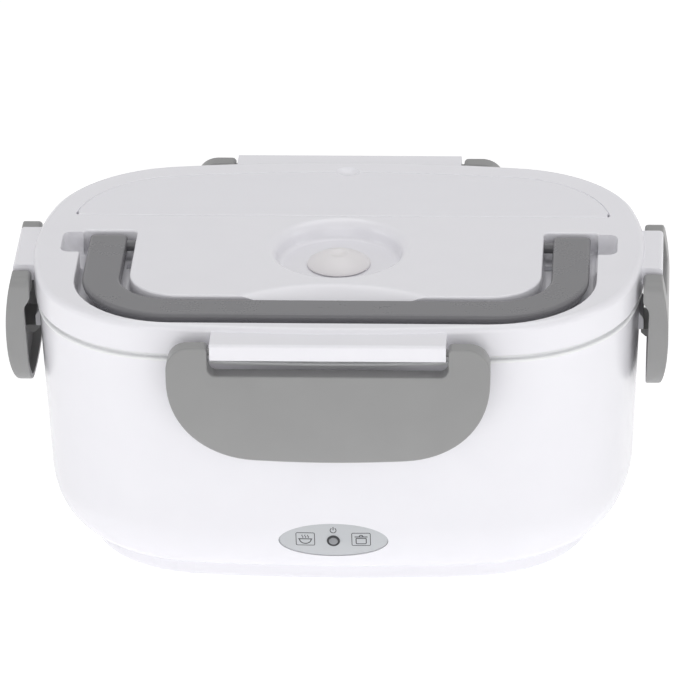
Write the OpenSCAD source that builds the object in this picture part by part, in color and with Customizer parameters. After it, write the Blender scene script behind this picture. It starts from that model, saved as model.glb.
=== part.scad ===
// Electric lunch box: a heated two-wall base, a lift-off lid held by four latches,
// a fold-flat carrying handle, a covered spoon well and a silicone steam cap.
// Millimetres. +X right, +Y to the back, +Z up, origin under the middle of the feet.

/* [Outline] */
// Length of the lid over its rounded short sides
lid_l = 220; // [205:1:250]
// Width of the lid over its rounded long sides
lid_w = 145; // [138:1:165]
// Radius of the long sides seen from above
long_r = 480; // [400:10:700]
// Radius of the short sides seen from above
short_r = 120; // [105:1:150]
// Radius of the four corners seen from above
corner_r = 50; // [44:1:54]

/* [Body] */
// Height of the body shell's top edge
body_top = 92.5; // [88:0.5:110]
// Step from the lid's edge in to the body's wall
body_inset = 1.3; // [0.8:0.1:1.8]
// Wall of the outer shells
wall = 2.2; // [1.8:0.1:2.6]
// How far the side wall leans in on its way down
wall_draft = 3; // [2:0.1:3.4]
// Height at which the rounded lower edge starts
tuck_top = 27; // [25:0.5:32]
// How far the rounded lower edge pulls in
tuck = 14; // [10:0.5:18]
// Height of the joint between body and base cover
plinth_top = 7; // [6.6:0.1:8]
// Width of the ledge around the opening under the body
lip_w = 16; // [14:0.5:18]

/* [Base] */
// Height of the rubber feet under the base cover
foot_h = 1.2; // [1:0.1:2]
// Radius of a rubber foot
foot_r = 6; // [4:0.1:7]
// Radius of a foot's push-in stem
foot_stem_r = 2; // [1.5:0.1:2.5]
// Floor of the base cover
base_floor = 2.2; // [1.8:0.1:2.4]
// Shank radius of the self-tapping screws
screw_r = 1.25; // [1:0.05:1.5]
// Head radius of the self-tapping screws
screw_head_r = 2.9; // [2.5:0.1:3.3]
// Head height of the self-tapping screws
screw_head_h = 1.8; // [1.4:0.1:2]

/* [Tub and heater] */
// Wall of the inner tub
tub_wall = 1.8; // [1.5:0.1:2]
// Height of the tub's rim flange, which shows as a thin bead
rim_h = 2.2; // [1.8:0.1:2.6]
// Height of the tub's underside
tub_bottom = 25; // [24.6:0.1:26]
// Height of the ledge that the container's rim hangs over
ledge_z = 80; // [76:0.5:81]
// Length of the heating plate
plate_l = 124; // [110:1:130]
// Width of the heating plate
plate_w = 72; // [64:1:76]
// Thickness of the heating plate
plate_t = 1.4; // [1:0.1:2]
// Length of the heater block
ptc_l = 60; // [50:1:64]
// Width of the heater block
ptc_w = 34; // [28:1:40]
// Height of the heater block
ptc_h = 8; // [7:0.5:8.4]

/* [Container] */
// Wall of the food container and of the side box
food_wall = 1.5; // [1.2:0.1:1.8]
// Distance of the divider from the middle
divider_x = 25; // [15:1:32]
// Depth of the removable side box
side_box_h = 40; // [30:1:46]

/* [Lid] */
// Height of the lid's lower edge above the body's top edge
lid_edge_gap = 3; // [2.8:0.1:3.4]
// Radius of the lid's top edge
lid_edge_r = 2.5; // [2:0.1:3]
// Wall of the moulded wells in the lid
well_wall = 1.6; // [1.2:0.1:1.8]
// Wall of the inner lid
liner_t = 1.6; // [1.4:0.1:1.8]
// Depth of the inner lid's plug below the lid's edge
plug_depth = 8; // [7:0.5:9]
// Height of the silicone seal around the plug
seal_h = 3; // [2:0.2:3.4]

/* [Handle] */
// Border of lid beside the handle's arms
handle_side = 19.6; // [18:0.2:26]
// Border of lid in front of the handle
handle_fore = 12.9; // [12:0.1:16]
// Width of the handle's bar
handle_w = 13.5; // [11:0.5:14]
// Thickness of the handle's bar
handle_t = 6.6; // [5.6:0.1:7]
// Outer corner radius of the handle
handle_r = 33; // [30:1:36]
// Distance of the pivot behind the middle
pivot_y = 5; // [3:0.5:7]
// Radius of the handle's pivot pins
pivot_r = 2; // [1.5:0.1:2.2]

/* [Spoon well and steam cap] */
// Distance of the spoon cover's straight edge behind the middle
cover_front = 23.4; // [22:0.2:26]
// Border of lid around the spoon cover
cover_border = 10; // [9:0.5:13]
// Thickness of the spoon cover
cover_t = 2.1; // [1.8:0.1:2.4]
// Radius of the round dish in the lid
dish_r = 25; // [22:0.5:26]
// Depth of the round dish
dish_depth = 6.7; // [5:0.1:7]
// Distance of the dish in front of the middle
dish_y = 3.5; // [1:0.5:5]
// Radius of the steam cap
cap_r = 12; // [9:0.5:14]
// Height of the steam cap
cap_h = 4.6; // [3:0.2:5]
// Length of the spoon
spoon_l = 143; // [120:1:150]
// Gap between the spoon's bowl and the front side of its well
spoon_gap = 1.55; // [1.2:0.05:3]
// How far the finger scoop reaches into the lid's panel
scoop_in = 10; // [6:0.5:12]

/* [Latches] */
// Half length of the front and back latches
latch_long = 56.8; // [50:0.2:58]
// Half length of the side latches
latch_short = 28; // [24:0.5:30]
// Width of an ear of the front and back latches
ear_long = 14.5; // [12:0.5:16]
// Width of an ear of the side latches
ear_short = 11; // [9:0.5:12]
// Distance of the front and back latch axes outside the lid's outline
axis_out_long = 6.5; // [6.3:0.1:7.5]
// Distance of the side latch axes outside the lid's outline
axis_out_short = 3.4; // [3.2:0.1:4]
// Distance of the latch axes below the lid's top
axis_down = 5.5; // [4.8:0.1:6]
// Radius of the latch pins
latch_pin_r = 1.3; // [1:0.1:1.5]
// Length of a latch from its axis to its lower edge
latch_h = 42.5; // [38:0.5:45]
// Height of the gap between a latch's plate and its ledge
latch_slot = 5.2; // [4.6:0.1:5.6]

/* [Front plate] */
// Half width of the oval plate
oval_a = 19.4; // [16:0.2:22]
// Half height of the oval plate
oval_b = 7.3; // [6:0.1:8]
// Height of the oval plate's middle
oval_z = 21.8; // [20:0.1:23]
// Radius of the indicator lens
lens_r = 2.25; // [1.5:0.05:2.6]

/* [Hidden] */
$fn = 64;

// Shared clearances
fit_gap = 0.3;       // between pieces that lift or swing clear of each other
run_gap = 0.06;      // radial, around a pin that turns in its bore
eps = 0.01;

// Body
hl = lid_l / 2 - body_inset;
hw = lid_w / 2 - body_inset;
tuck_y = 0.72;       // the long sides pull in less than the short ones
tuck_r = 0.235;      // and the corners tighten a little on the way down
tuck_pow = 1.65;     // roundness of the lower edge, 2 is an ellipse
foot_k = wall_draft + tuck;
catch_z = body_top - 14.2;
catch_h = 4;
catch_long = 30;
catch_short = 10;
catch_proud_long = 2.7;
catch_proud_short = 1.5;

// Heights of the stack over the base
rim_top = body_top + rim_h;
lid_edge = body_top + lid_edge_gap;
tub_floor = tub_bottom + 2;
gasket_t = 0.6;
plate_seat = 6;      // width of the plate's edge that lies on the tub's floor
plate_top = tub_floor + gasket_t + plate_t;
ptc_top = tub_bottom - 1;
ptc_bottom = ptc_top - ptc_h;
clamp_t = 1.5;
clamp_w = 12;
container_bottom = plate_top + fit_gap;
rim_t = 1.5;

// Insets from the lid's outline
collar_in = 4.6;
seal_in = collar_in + tub_wall + fit_gap;
plug_in = seal_in + 1.3;
seal_bite = 1;       // how deep the seal sits in its channel
tub_in = 9.3;
container_in = tub_in + tub_wall + 1;
container_rim_in = collar_in + tub_wall + 2.5;

// Height of the lid: the inner lid, the groove's wall and the handle lie on top of each other
handle_l = lid_l - 2 * handle_side;
handle_front = lid_w / 2 - handle_fore;
handle_end = 1.2;    // how far an arm's round end sits behind its pivot
handle_sunk = 0.4;   // below the lid's top
groove_gap = 0.4;    // under the arm's end as it turns
liner_z = rim_top + 0.4 + liner_t;
groove_z = liner_z + 0.1 + well_wall;
pivot_z = groove_z + groove_gap + handle_end + handle_t / 2;
lid_top = pivot_z + handle_t / 2 + handle_sunk;
groove_side = 2.6;
groove_front = 6.7;
panel_gap = 3.4;
groove_back = pivot_y + handle_end + handle_t / 2 + 0.7;
panel_half = handle_l / 2 - handle_w - panel_gap;
panel_front = handle_front - handle_w - 1.6;
scoop_half = 33;
scoop_slope = 35;    // of the scoop's surface where it meets the panel
scoop_plan_r = (pow(scoop_half, 2) + pow(scoop_in, 2)) / (2 * scoop_in);
scoop_up = scoop_plan_r / tan(scoop_slope);
notch_half = 8.5;
notch_r = 8.4;

// Spoon well
cover_z = lid_top - cover_t;
well_z = lid_top - 8.4;
well_front = cover_front + 6;
spoon_h = 5.6;
cover_pin_r = 0.7;
cover_axis_y = cover_front + cover_t / 2;
cover_axis_z = cover_z + cover_t / 2;
cover_pin_l = 1.8;

// Steam cap
dish_z = lid_top - dish_depth;
cap_stem_r = 3;

// Latches, measured from their axis: +Y out, +Z up
latch_face = 5.2;
latch_face_r = 90;
latch_fat = 17.5;    // the face stands out most this far below the axis
plate_in_top = 1.7;
plate_in_bottom = 3.1;
ear_in = 3.8;
latch_wall = 2.2;
ear_top = 2.5;
ledge_top = 3.8;
ledge_bottom = 2.3;
ledge_out = 3;
ledge_end_gap = 0.9;
axis_long = lid_w / 2 + axis_out_long;
axis_short = lid_l / 2 + axis_out_short;
axis_z = lid_top - axis_down;
latch_bottom = axis_z - latch_h;
latch_top = axis_z - ledge_bottom - latch_slot;
latch_pin_l = 4.5;
latch_r_long = 32;
latch_r_short = 16;
latch_bow_long = 390;  // radius of the lower edge seen from the front
latch_bow_short = 130;
slot_r = 3;
hook_t = 3;

// Screws and bosses
boss_r = 3.8;
pilot_r = screw_r + 0.05;
base_boss_h = 4;
vent_w = 2.4;        // slots in the base's floor
vent_l = 12;
vent_pitch = 8;
clamp_half = plate_l / 2 + 4;

// Inlet on the back
inlet_half = 13;
inlet_bottom = plinth_top + wall + 0.6;
inlet_top = tub_bottom - 0.6;
inlet_mid = (inlet_bottom + inlet_top) / 2;
inlet_face = hw - 2.4;
inlet_depth = 16.6;
socket_depth = 12;
pin_x = 4.3;
pin_r = 1.2;
wire_r = 0.9;

// --- outlines -----------------------------------------------------------------------

// Centre of the corner arc that is tangent to a long side's and a short side's arc
function corner_centre(a, b, ra, rb, r) =
    let (p = [0, b - ra], q = [a - rb, 0], d = norm(q - p), e = (q - p) / d)
    let (t = (d * d + pow(ra - r, 2) - pow(rb - r, 2)) / (2 * d))
    p + e * t + sqrt(pow(ra - r, 2) - t * t) * [e[1], -e[0]];

function arc(c, r, from, to, n) =
    [for (i = [0 : n - 1]) c + r * [cos(from + (to - from) * i / n), sin(from + (to - from) * i / n)]];

// One quarter of the outline, from the short side's middle to the long side's middle
function quarter(a, b, ra, rb, r) =
    let (c = corner_centre(a, b, ra, rb, r))
    let (t2 = atan2(c[1], c[0] - a + rb), t1 = atan2(c[1] - b + ra, c[0]))
    concat(arc([a - rb, 0], rb, 0, t2, 3), arc(c, r, t2, t1, 9), arc([0, b - ra], ra, t1, 90, 4), [[0, b]]);

// Closed outline of four arcs a side, half length a and half width b
function outline(a, b, ra, rb, r) =
    let (q = quarter(a, b, ra, rb, r), n = len(q) - 1)
    concat([for (i = [0 : n - 1]) q[i]], [for (i = [n : -1 : 1]) [-q[i][0], q[i][1]]],
        [for (i = [0 : n - 1]) -q[i]], [for (i = [n : -1 : 1]) [q[i][0], -q[i][1]]]);

// The lid's outline, drawn in by d all round
function plan(d) = outline(lid_l / 2 - d, lid_w / 2 - d, long_r - d, short_r - d, corner_r - d);

// The body's outline where it has pulled in by k, drawn in by w all round
function body_plan(k, w) = outline(hl - k - w, hw - tuck_y * k - w, long_r - body_inset - w,
    short_r - body_inset - w, corner_r - body_inset - tuck_r * k - w);

// How far the body has pulled in at height z
function pull_in(z) =
    let (down = max(0, tuck_top - z) / (tuck_top - plinth_top))
    z >= tuck_top ? wall_draft * (body_top - z) / (body_top - tuck_top)
    : wall_draft + tuck * (1 - pow(1 - pow(down, tuck_pow), 1 / tuck_pow));

// Middle of a boss that stands w inside the plinth's outline, on a corner's diagonal
foot_corner = corner_centre(hl - foot_k, hw - tuck_y * foot_k, long_r - body_inset,
    short_r - body_inset, corner_r - body_inset - tuck_r * foot_k);
foot_corner_r = corner_r - body_inset - tuck_r * foot_k;
function on_corner(w) = foot_corner + (foot_corner_r - w) * [cos(45), sin(45)];

// Skin through a list of rings [z, points]; closed joins the last ring to the first
module skin(rings, closed = false) {
    n = len(rings[0][1]);
    m = len(rings);
    pts = [for (r = rings) for (p = r[1]) [p[0], p[1], r[0]]];
    bands = closed ? m : m - 1;
    sides = [for (i = [0 : bands - 1]) for (j = [0 : n - 1])
        let (a = i * n + j, b = i * n + (j + 1) % n, c = ((i + 1) % m) * n)
        for (f = [[a, b, c + (j + 1) % n], [a, c + (j + 1) % n, c + j]]) f];
    caps = closed ? [] : [[for (j = [n - 1 : -1 : 0]) j], [for (j = [0 : n - 1]) (m - 1) * n + j]];
    polyhedron(points = pts, faces = concat(sides, caps), convexity = 6);
}

module slab(points, z0, z1) {
    translate([0, 0, z0])
        linear_extrude(height = z1 - z0)
            polygon(points);
}

module wall_slab(outer, inner, z0, z1) {
    translate([0, 0, z0])
        linear_extrude(height = z1 - z0)
            difference() {
                polygon(outer);
                polygon(inner);
            }
}

// Flat shape between two heights
module layer(z0, z1) {
    translate([0, 0, z0])
        linear_extrude(height = z1 - z0)
            children();
}

module rounded(r) {
    offset(r = r)
        offset(delta = -r)
            children();
}

module box_2d(x0, x1, y0, y1) {
    translate([x0, y0])
        square([x1 - x0, y1 - y0]);
}

// Plate with two round front corners, open in shape to the back
module round_front(half, front, r, back) {
    box_2d(-half, half, r - front, back);
    box_2d(r - half, half - r, -front, r - front + 1);
    for (s = [-1, 1])
        translate([s * (half - r), r - front])
            circle(r = r);
}

module four(p) {
    for (sx = [-1, 1])
        for (sy = [-1, 1])
            translate([sx * p[0], sy * p[1], 0])
                children();
}

// Along X, with the profile's first axis to +Y and its second to +Z
module along_x(x0, x1) {
    translate([x0, 0, 0])
        rotate([90, 0, 90])
            linear_extrude(height = x1 - x0)
                children();
}

// Along Y, with the profile's first axis to +X and its second to +Z
module along_y(y0, y1) {
    translate([0, y1, 0])
        rotate([90, 0, 0])
            linear_extrude(height = y1 - y0)
                children();
}

// --- base ---------------------------------------------------------------------------

function tuck_rings(depth, w, steps) = [for (i = [0 : steps])
    let (q = 2 / tuck_pow, a = 90 * i / steps)
    [tuck_top - depth * pow(sin(a), q), body_plan(wall_draft + tuck * (1 - pow(cos(a), q)), w)]];

function reversed(list) = [for (i = [len(list) - 1 : -1 : 0]) list[i]];

// Ridge that a latch's hook catches under
module catch_ridge(reach, half, proud) {
    face = reach - wall_draft * (body_top - catch_z) / (body_top - tuck_top) + proud;
    along_x(-half, half)
        polygon([[reach - 6, catch_z], [face, catch_z], [face, catch_z + catch_h],
            [reach - 6, catch_z + catch_h + 6]]);
}

// The oval plate leans with the wall: its own Y runs up the wall and its Z straight out
front_y = tuck_y * pull_in(oval_z) - hw;
front_tilt = atan(tuck_y * (pull_in(oval_z - oval_b) - pull_in(oval_z + oval_b)) / (2 * oval_b));

module at_front_plate() {
    translate([0, front_y, oval_z])
        rotate([90 + front_tilt, 0, 0])
            children();
}

function front_point(x, y, z) = [x, front_y - y * sin(front_tilt) - z * cos(front_tilt),
    oval_z + y * cos(front_tilt) - z * sin(front_tilt)];

module oval(grow) {
    scale([(oval_a + grow) / (oval_b + grow), 1])
        circle(r = oval_b + grow);
}

plate_sunk = 1.3;    // depth of the oval plate's seat
board_half = 15;
board_peg_x = 11;
board_low = -8;
board_high = 1;
board_t = 1.6;
board_depth = 6;
lens_depth = 4;
led_r = 1.5;
board_peg_y = (board_low + board_high) / 2 - 1;

module inlet_2d(grow) {
    rounded(2 + grow / 2)
        box_2d(-inlet_half - grow, inlet_half + grow, inlet_bottom - grow, inlet_top + grow);
}

// Raised frame around the inlet, wider towards the wall that it grows out of
module inlet_frame() {
    hull() {
        along_y(inlet_face - 0.1, inlet_face)
            inlet_2d(1.9);
        along_y(inlet_face - 1.2, inlet_face - 1.1)
            inlet_2d(2.9);
        along_y(inlet_face - 8, inlet_face - 7.9)
            inlet_2d(6.2);
    }
}

module body_shell() {
    color("whitesmoke")
        difference() {
            union() {
                skin(concat([[body_top, body_plan(0, 0)]], tuck_rings(tuck_top - plinth_top, 0, 9),
                    [[plinth_top, body_plan(foot_k, lip_w)], [plinth_top + wall, body_plan(foot_k, lip_w)]],
                    reversed(tuck_rings(tuck_top - plinth_top - wall, wall, 5)),
                    [[body_top, body_plan(0, wall)]]), closed = true);
                difference() {
                    union() {
                        for (a = [0, 180])
                            rotate([0, 0, a])
                                catch_ridge(hw, catch_long, catch_proud_long);
                        for (a = [90, -90])
                            rotate([0, 0, a])
                                catch_ridge(hl, catch_short, catch_proud_short);
                    }
                    slab(body_plan(0.8, wall / 2), catch_z - 5, catch_z + 20);
                }
                four(on_corner(lip_w / 2))
                    translate([0, 0, foot_h + base_boss_h])
                        cylinder(r = boss_r, h = 10);
                difference() {
                    inlet_frame();
                    slab(plan(tub_in - 0.6), tub_bottom - fit_gap, tub_bottom + 20);
                    layer(0, plinth_top)
                        square(lid_l, center = true);
                }
                at_front_plate()
                    for (s = [-1, 1])
                        translate([s * board_peg_x, board_peg_y, 0.1 - board_depth])
                            cylinder(r = 2.2, h = board_depth - wall / 2);
                at_front_plate()
                    for (s = [-1, 1])
                        translate([s * board_peg_x, board_peg_y, -board_depth - board_t - 0.6])
                            cylinder(r = 1.1, h = board_t + 2);
            }
            along_y(0, inlet_face + 10)
                inlet_2d(0.15);
            four(on_corner(lip_w / 2))
                cylinder(r = pilot_r, h = foot_h + base_boss_h + 9);
            at_front_plate()
                layer(-plate_sunk, 20)
                    oval(0.15);
            at_front_plate()
                layer(-board_depth, 20)
                    circle(r = lens_r + 0.25);
        }
}

module base_cover() {
    low = foot_h;
    color("white")
        difference() {
            union() {
                skin([[low + base_floor, body_plan(foot_k, wall + 0.3)],
                    [plinth_top, body_plan(foot_k, wall + 0.3)],
                    [plinth_top, body_plan(foot_k, 0.3)], [low + 1.5, body_plan(foot_k, 0.3)],
                    [low + 0.45, body_plan(foot_k, 0.75)], [low, body_plan(foot_k, 1.8)]]);
                four(on_corner(lip_w / 2))
                    translate([0, 0, low])
                        cylinder(r = boss_r + 1.6, h = base_boss_h);
            }
            four(on_corner(lip_w / 2)) {
                translate([0, 0, -eps])
                    cylinder(r = screw_head_r + 0.4, h = low + screw_head_h + 0.2 + eps);
                cylinder(r = screw_r + 0.5, h = 20);
            }
            four(on_corner(lip_w * 1.5)) {
                cylinder(r = foot_r + 0.1, h = low + 0.6);
                cylinder(r = foot_stem_r + 0.05, h = 20);
            }
            for (i = [-3 : 3])
                for (j = [-1, 1])
                    translate([i * vent_pitch - vent_w / 2, j * vent_l - vent_l / 2, 0])
                        cube([vent_w, vent_l, 10]);
        }
}

module tapping_screw(head_z, length) {
    translate([0, 0, head_z])
        cylinder(r = screw_head_r, h = screw_head_h);
    translate([0, 0, head_z + screw_head_h - eps])
        cylinder(r = screw_r, h = length);
}

module base_screws() {
    color("lightsteelblue")
        four(on_corner(lip_w / 2))
            difference() {
                tapping_screw(foot_h + 0.2, 10);
                translate([0, 0, foot_h])
                    for (a = [0, 90])
                        rotate([0, 0, a])
                            translate([-1.7, -0.4, 0])
                                cube([3.4, 0.8, 1]);
            }
}

module feet() {
    color("dimgray")
        four(on_corner(lip_w * 1.5)) {
            cylinder(r = foot_r, h = foot_h + 0.6);
            cylinder(r = foot_stem_r, h = foot_h + base_floor + 0.6);
            translate([0, 0, foot_h + base_floor])
                cylinder(r = foot_stem_r + 0.5, h = 1);
        }
}

// --- tub and heater -----------------------------------------------------------------

module stadium(l, w) {
    rounded(w / 2 - 1)
        square([l, w], center = true);
}

module inner_tub() {
    color("white")
        difference() {
            union() {
                wall_slab(plan(body_inset - 0.8), plan(collar_in + tub_wall), body_top, rim_top);
                wall_slab(plan(collar_in), plan(collar_in + tub_wall), ledge_z - 2, rim_top);
                wall_slab(plan(collar_in), plan(tub_in + tub_wall), ledge_z - 2, ledge_z);
                wall_slab(plan(tub_in), plan(tub_in + tub_wall), tub_bottom, ledge_z);
                slab(plan(tub_in), tub_bottom, tub_floor);
                for (s = [-1, 1])
                    translate([s * clamp_half, 0, ptc_bottom])
                        cylinder(r = boss_r, h = tub_bottom - ptc_bottom + 1);
            }
            layer(0, tub_floor + 10)
                stadium(plate_l - 2 * plate_seat, plate_w - 2 * plate_seat);
            for (s = [-1, 1])
                translate([s * clamp_half, 0, ptc_bottom - 1])
                    cylinder(r = pilot_r, h = tub_bottom - ptc_bottom + 1);
        }
}

module plate_gasket() {
    color("gray")
        layer(tub_floor, tub_floor + gasket_t)
            difference() {
                stadium(plate_l, plate_w);
                stadium(plate_l - 2 * plate_seat + 1, plate_w - 2 * plate_seat + 1);
            }
}

module heating_plate() {
    color("silver")
        difference() {
            union() {
                layer(tub_floor + gasket_t, plate_top)
                    stadium(plate_l, plate_w);
                layer(ptc_top, plate_top)
                    stadium(plate_l - 2 * plate_seat - 2, plate_w - 2 * plate_seat - 2);
            }
            translate([0, 0, plate_top - 0.4])
                difference() {
                    cylinder(r = plate_w / 2 - 8, h = 2);
                    translate([0, 0, -1])
                        cylinder(r = plate_w / 2 - 10, h = 4);
                }
        }
}

ptc_x = -10;
cutoff_r = 8;
cutoff_x = ptc_x - 8 - cutoff_r;
terminal_t = 1;

module ptc_heater() {
    color("darkgray") {
        translate([ptc_x, -ptc_w / 2, ptc_bottom])
            cube([ptc_l, ptc_w, ptc_h]);
        for (y = [-ptc_w / 2 - 5, ptc_w / 2])
            translate([ptc_x + 12, y, ptc_bottom + ptc_h / 2 - terminal_t / 2])
                cube([6, 5, terminal_t]);
        translate([ptc_x - 4, -3, ptc_bottom + ptc_h / 2 - terminal_t / 2])
            cube([4, 6, terminal_t]);
    }
}

module thermal_cutoff() {
    color("burlywood") {
        translate([cutoff_x, 0, ptc_bottom])
            cylinder(r = cutoff_r, h = ptc_h);
        translate([cutoff_x - 3, cutoff_r - 1, ptc_bottom + ptc_h / 2 - terminal_t / 2])
            cube([6, 6, terminal_t]);
    }
}

module heater_clamp() {
    color("lightgray")
        layer(ptc_bottom - clamp_t, ptc_bottom)
            difference() {
                stadium(2 * clamp_half + clamp_w - 3, clamp_w);
                for (s = [-1, 1])
                    translate([s * clamp_half, 0])
                        circle(r = screw_r + 0.4);
            }
}

module clamp_screws() {
    color("lightsteelblue")
        for (s = [-1, 1])
            translate([s * clamp_half, 0, 0])
                tapping_screw(ptc_bottom - clamp_t - screw_head_h, ptc_h - 0.5 + clamp_t);
}

// --- inlet, wires and indicator -----------------------------------------------------

inlet_back = inlet_face - 0.2 - inlet_depth;

module power_inlet() {
    color("#2b2b2d")
        difference() {
            along_y(inlet_back, inlet_face - 0.2)
                inlet_2d(0);
            along_y(inlet_face - socket_depth, inlet_face + 1)
                union() {
                    for (s = [-1, 1])
                        translate([s * pin_x, inlet_mid])
                            circle(r = 4.1);
                    translate([-pin_x, inlet_mid - 4.1])
                        square([2 * pin_x, 8.2]);
                }
            for (s = [-1, 1])
                translate([s * pin_x, inlet_back - 1, inlet_mid])
                    rotate([-90, 0, 0])
                        cylinder(r = pin_r + 0.05, h = inlet_depth);
        }
}

module inlet_pins() {
    color("silver")
        for (s = [-1, 1])
            translate([s * pin_x, inlet_back - 4, inlet_mid])
                rotate([-90, 0, 0])
                    cylinder(r = pin_r, h = inlet_depth + 2);
}

// Point of a smooth curve through a list of points, u runs from 0 to the last index
function along(p, u) =
    let (n = len(p) - 1, i = min(floor(u), n - 1), t = u - i)
    let (a = p[max(i - 1, 0)], b = p[i], c = p[i + 1], d = p[min(i + 2, n)])
    0.5 * (2 * b + (c - a) * t + (2 * a - 5 * b + 4 * c - d) * t * t + (3 * b - a - 3 * c + d) * t * t * t);

function unit(v) = v / norm(v);

// Six-sided wire along a smooth curve, its ends square to the first and last stretch
module wire(p) {
    n = len(p) - 1;
    steps = 5 * n;
    sides = 6;
    pts = [for (i = [0 : steps])
        let (u = n * i / steps, c = along(p, u))
        let (t = i == 0 ? unit(p[1] - p[0])
            : i == steps ? unit(p[n] - p[n - 1])
            : unit(along(p, u + 0.05) - along(p, u - 0.05)))
        let (x = unit(cross(t, [0.3, 0, 1])), y = cross(x, t))
        for (j = [0 : sides - 1]) c + wire_r * (cos(60 * j) * x + sin(60 * j) * y)];
    walls = [for (i = [0 : steps - 1]) for (j = [0 : sides - 1])
        let (a = i * sides + j, b = i * sides + (j + 1) % sides)
        for (f = [[a, b, b + sides], [a, b + sides, a + sides]]) f];
    polyhedron(points = pts, faces = concat(walls, [[for (j = [sides - 1 : -1 : 0]) j],
        [for (j = [0 : sides - 1]) steps * sides + j]]), convexity = 6);
}

module wire_harness() {
    tail = inlet_back - 4.1;
    mid = ptc_bottom + ptc_h / 2;
    led = front_point(4, -5, -board_depth - board_t - 0.3);
    live = cutoff_x;
    neutral = ptc_x + 15;
    reach = 12;          // straight run in front of a terminal
    color("firebrick") {
        wire([[-pin_x, tail, inlet_mid], [-pin_x, tail - 6, inlet_mid], [live, tail - 16, mid],
            [live, cutoff_r + reach, mid], [live, cutoff_r + 5.1, mid]]);
        wire([[pin_x, tail, inlet_mid], [pin_x, tail - 6, inlet_mid], [neutral, ptc_w / 2 + reach, mid],
            [neutral, ptc_w / 2 + 5.1, mid]]);
        wire([[neutral, -ptc_w / 2 - 5.1, mid], [neutral, -ptc_w / 2 - reach, mid], led + [0, 6, 0], led]);
        wire([[cutoff_x + cutoff_r + 0.1, 0, mid], [ptc_x - 4.1, 0, mid]]);
    }
}

module control_plate() {
    color("silver")
        at_front_plate()
            difference() {
                layer(-plate_sunk, 0.2)
                    oval(0);
                translate([0, 0, -3])
                    cylinder(r = lens_r + 0.1, h = 6);
                difference() {
                    layer(0, 2)
                        oval(-0.9);
                    layer(-0.5, 3)
                        oval(-1.5);
                }
            }
}

module indicator_lens() {
    color("lightgray")
        at_front_plate()
            difference() {
                layer(-lens_depth, 0.6)
                    circle(r = lens_r);
                translate([0, 0, 3.9])
                    sphere(r = 3.6);
            }
}

module led_board() {
    color("seagreen")
        at_front_plate() {
            layer(-board_depth - 0.1, -lens_depth - 0.3)
                circle(r = led_r);
            layer(-board_depth - board_t, -board_depth)
                difference() {
                    box_2d(-board_half, board_half, board_low, board_high);
                    for (s = [-1, 1])
                        translate([s * board_peg_x, board_peg_y])
                            circle(r = 1.2);
                }
        }
}

// --- containers ---------------------------------------------------------------------

// Inside of the container on one side of the divider, drawn in by d
module compartment(side, d) {
    far = lid_l;
    rounded(6)
        intersection() {
            polygon(plan(container_in + food_wall + d));
            if (side < 0)
                box_2d(-far, divider_x - food_wall / 2 - d, -far, far);
            else
                box_2d(divider_x + food_wall / 2 + d, far, -far, far);
        }
}

container_rim = ledge_z + fit_gap;
side_rim = container_rim + rim_t + fit_gap;
food_draft = 1.6;    // how far a container's wall leans in on its way down
food_round = 8;      // height of the round edge at a container's bottom

// Inset of a drafted wall with a round bottom edge, u above the bottom of a wall h high
function food_inset(u, h) = u >= food_round ? food_draft * (h - u) / (h - food_round)
    : food_draft + food_round * (1 - sqrt(1 - pow(1 - u / food_round, 2)));

food_steps = [0, 0.6, 2.1, 4.6, food_round];

// Block that fills a compartment from z0 up to z1, drawn in by d
module food_block(side, z0, z1, d) {
    hull() {
        for (u = food_steps)
            layer(z0 + u, z0 + u + 0.01)
                compartment(side, d + food_inset(u, z1 - z0));
        layer(z1 - 0.01, z1)
            compartment(side, d);
    }
}

module food_container() {
    h = container_rim - container_bottom;
    color("mintcream")
        difference() {
            union() {
                skin(concat([[container_rim + eps, plan(container_in)]],
                    [for (i = [len(food_steps) - 1 : -1 : 0])
                        let (u = food_steps[i])
                        [container_bottom + u, plan(container_in + food_inset(u, h))]]));
                slab(plan(container_rim_in), container_rim, container_rim + rim_t);
            }
            for (side = [-1, 1])
                food_block(side, container_bottom + food_wall, container_rim + rim_t + 1, 0);
        }
}

module side_box() {
    color("white")
        difference() {
            union() {
                food_block(1, side_rim - side_box_h, side_rim, 0.8);
                layer(side_rim, side_rim + 1.2)
                    compartment(1, -1.2);
            }
            food_block(1, side_rim - side_box_h + food_wall, side_rim + 2, 0.8 + food_wall);
        }
}

module side_box_lid() {
    z = side_rim + 1.2;
    color("lightgray")
        difference() {
            union() {
                layer(z, z + 1.6)
                    compartment(1, -1.2);
                layer(z - 2.4, z + 1)
                    compartment(1, 0.8 + food_wall + 0.25);
            }
            layer(z - 3, z)
                compartment(1, 0.8 + 2 * food_wall + 0.25);
            layer(z + 0.9, z + 3)
                compartment(1, 3);
        }
}

// --- lid ----------------------------------------------------------------------------

module groove_2d(grow) {
    difference() {
        round_front(handle_l / 2 + groove_side + grow, handle_front + groove_front + grow,
            handle_r + 4 + grow, groove_back + grow);
        translate([0, 0])
            round_front(panel_half - grow, panel_front - grow, handle_r - handle_w - 0.5 - grow,
                groove_back + grow + 1);
    }
}

module cover_2d(grow) {
    offset(r = 2 + grow)
        offset(delta = -2)
            intersection() {
                polygon(plan(cover_border));
                box_2d(-lid_l, lid_l, cover_front, lid_w);
            }
}

module well_2d(grow) {
    offset(r = 5 + grow)
        offset(delta = -5)
            intersection() {
                polygon(plan(cover_border + 4));
                box_2d(-lid_l, lid_l, well_front, lid_w);
            }
}

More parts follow.
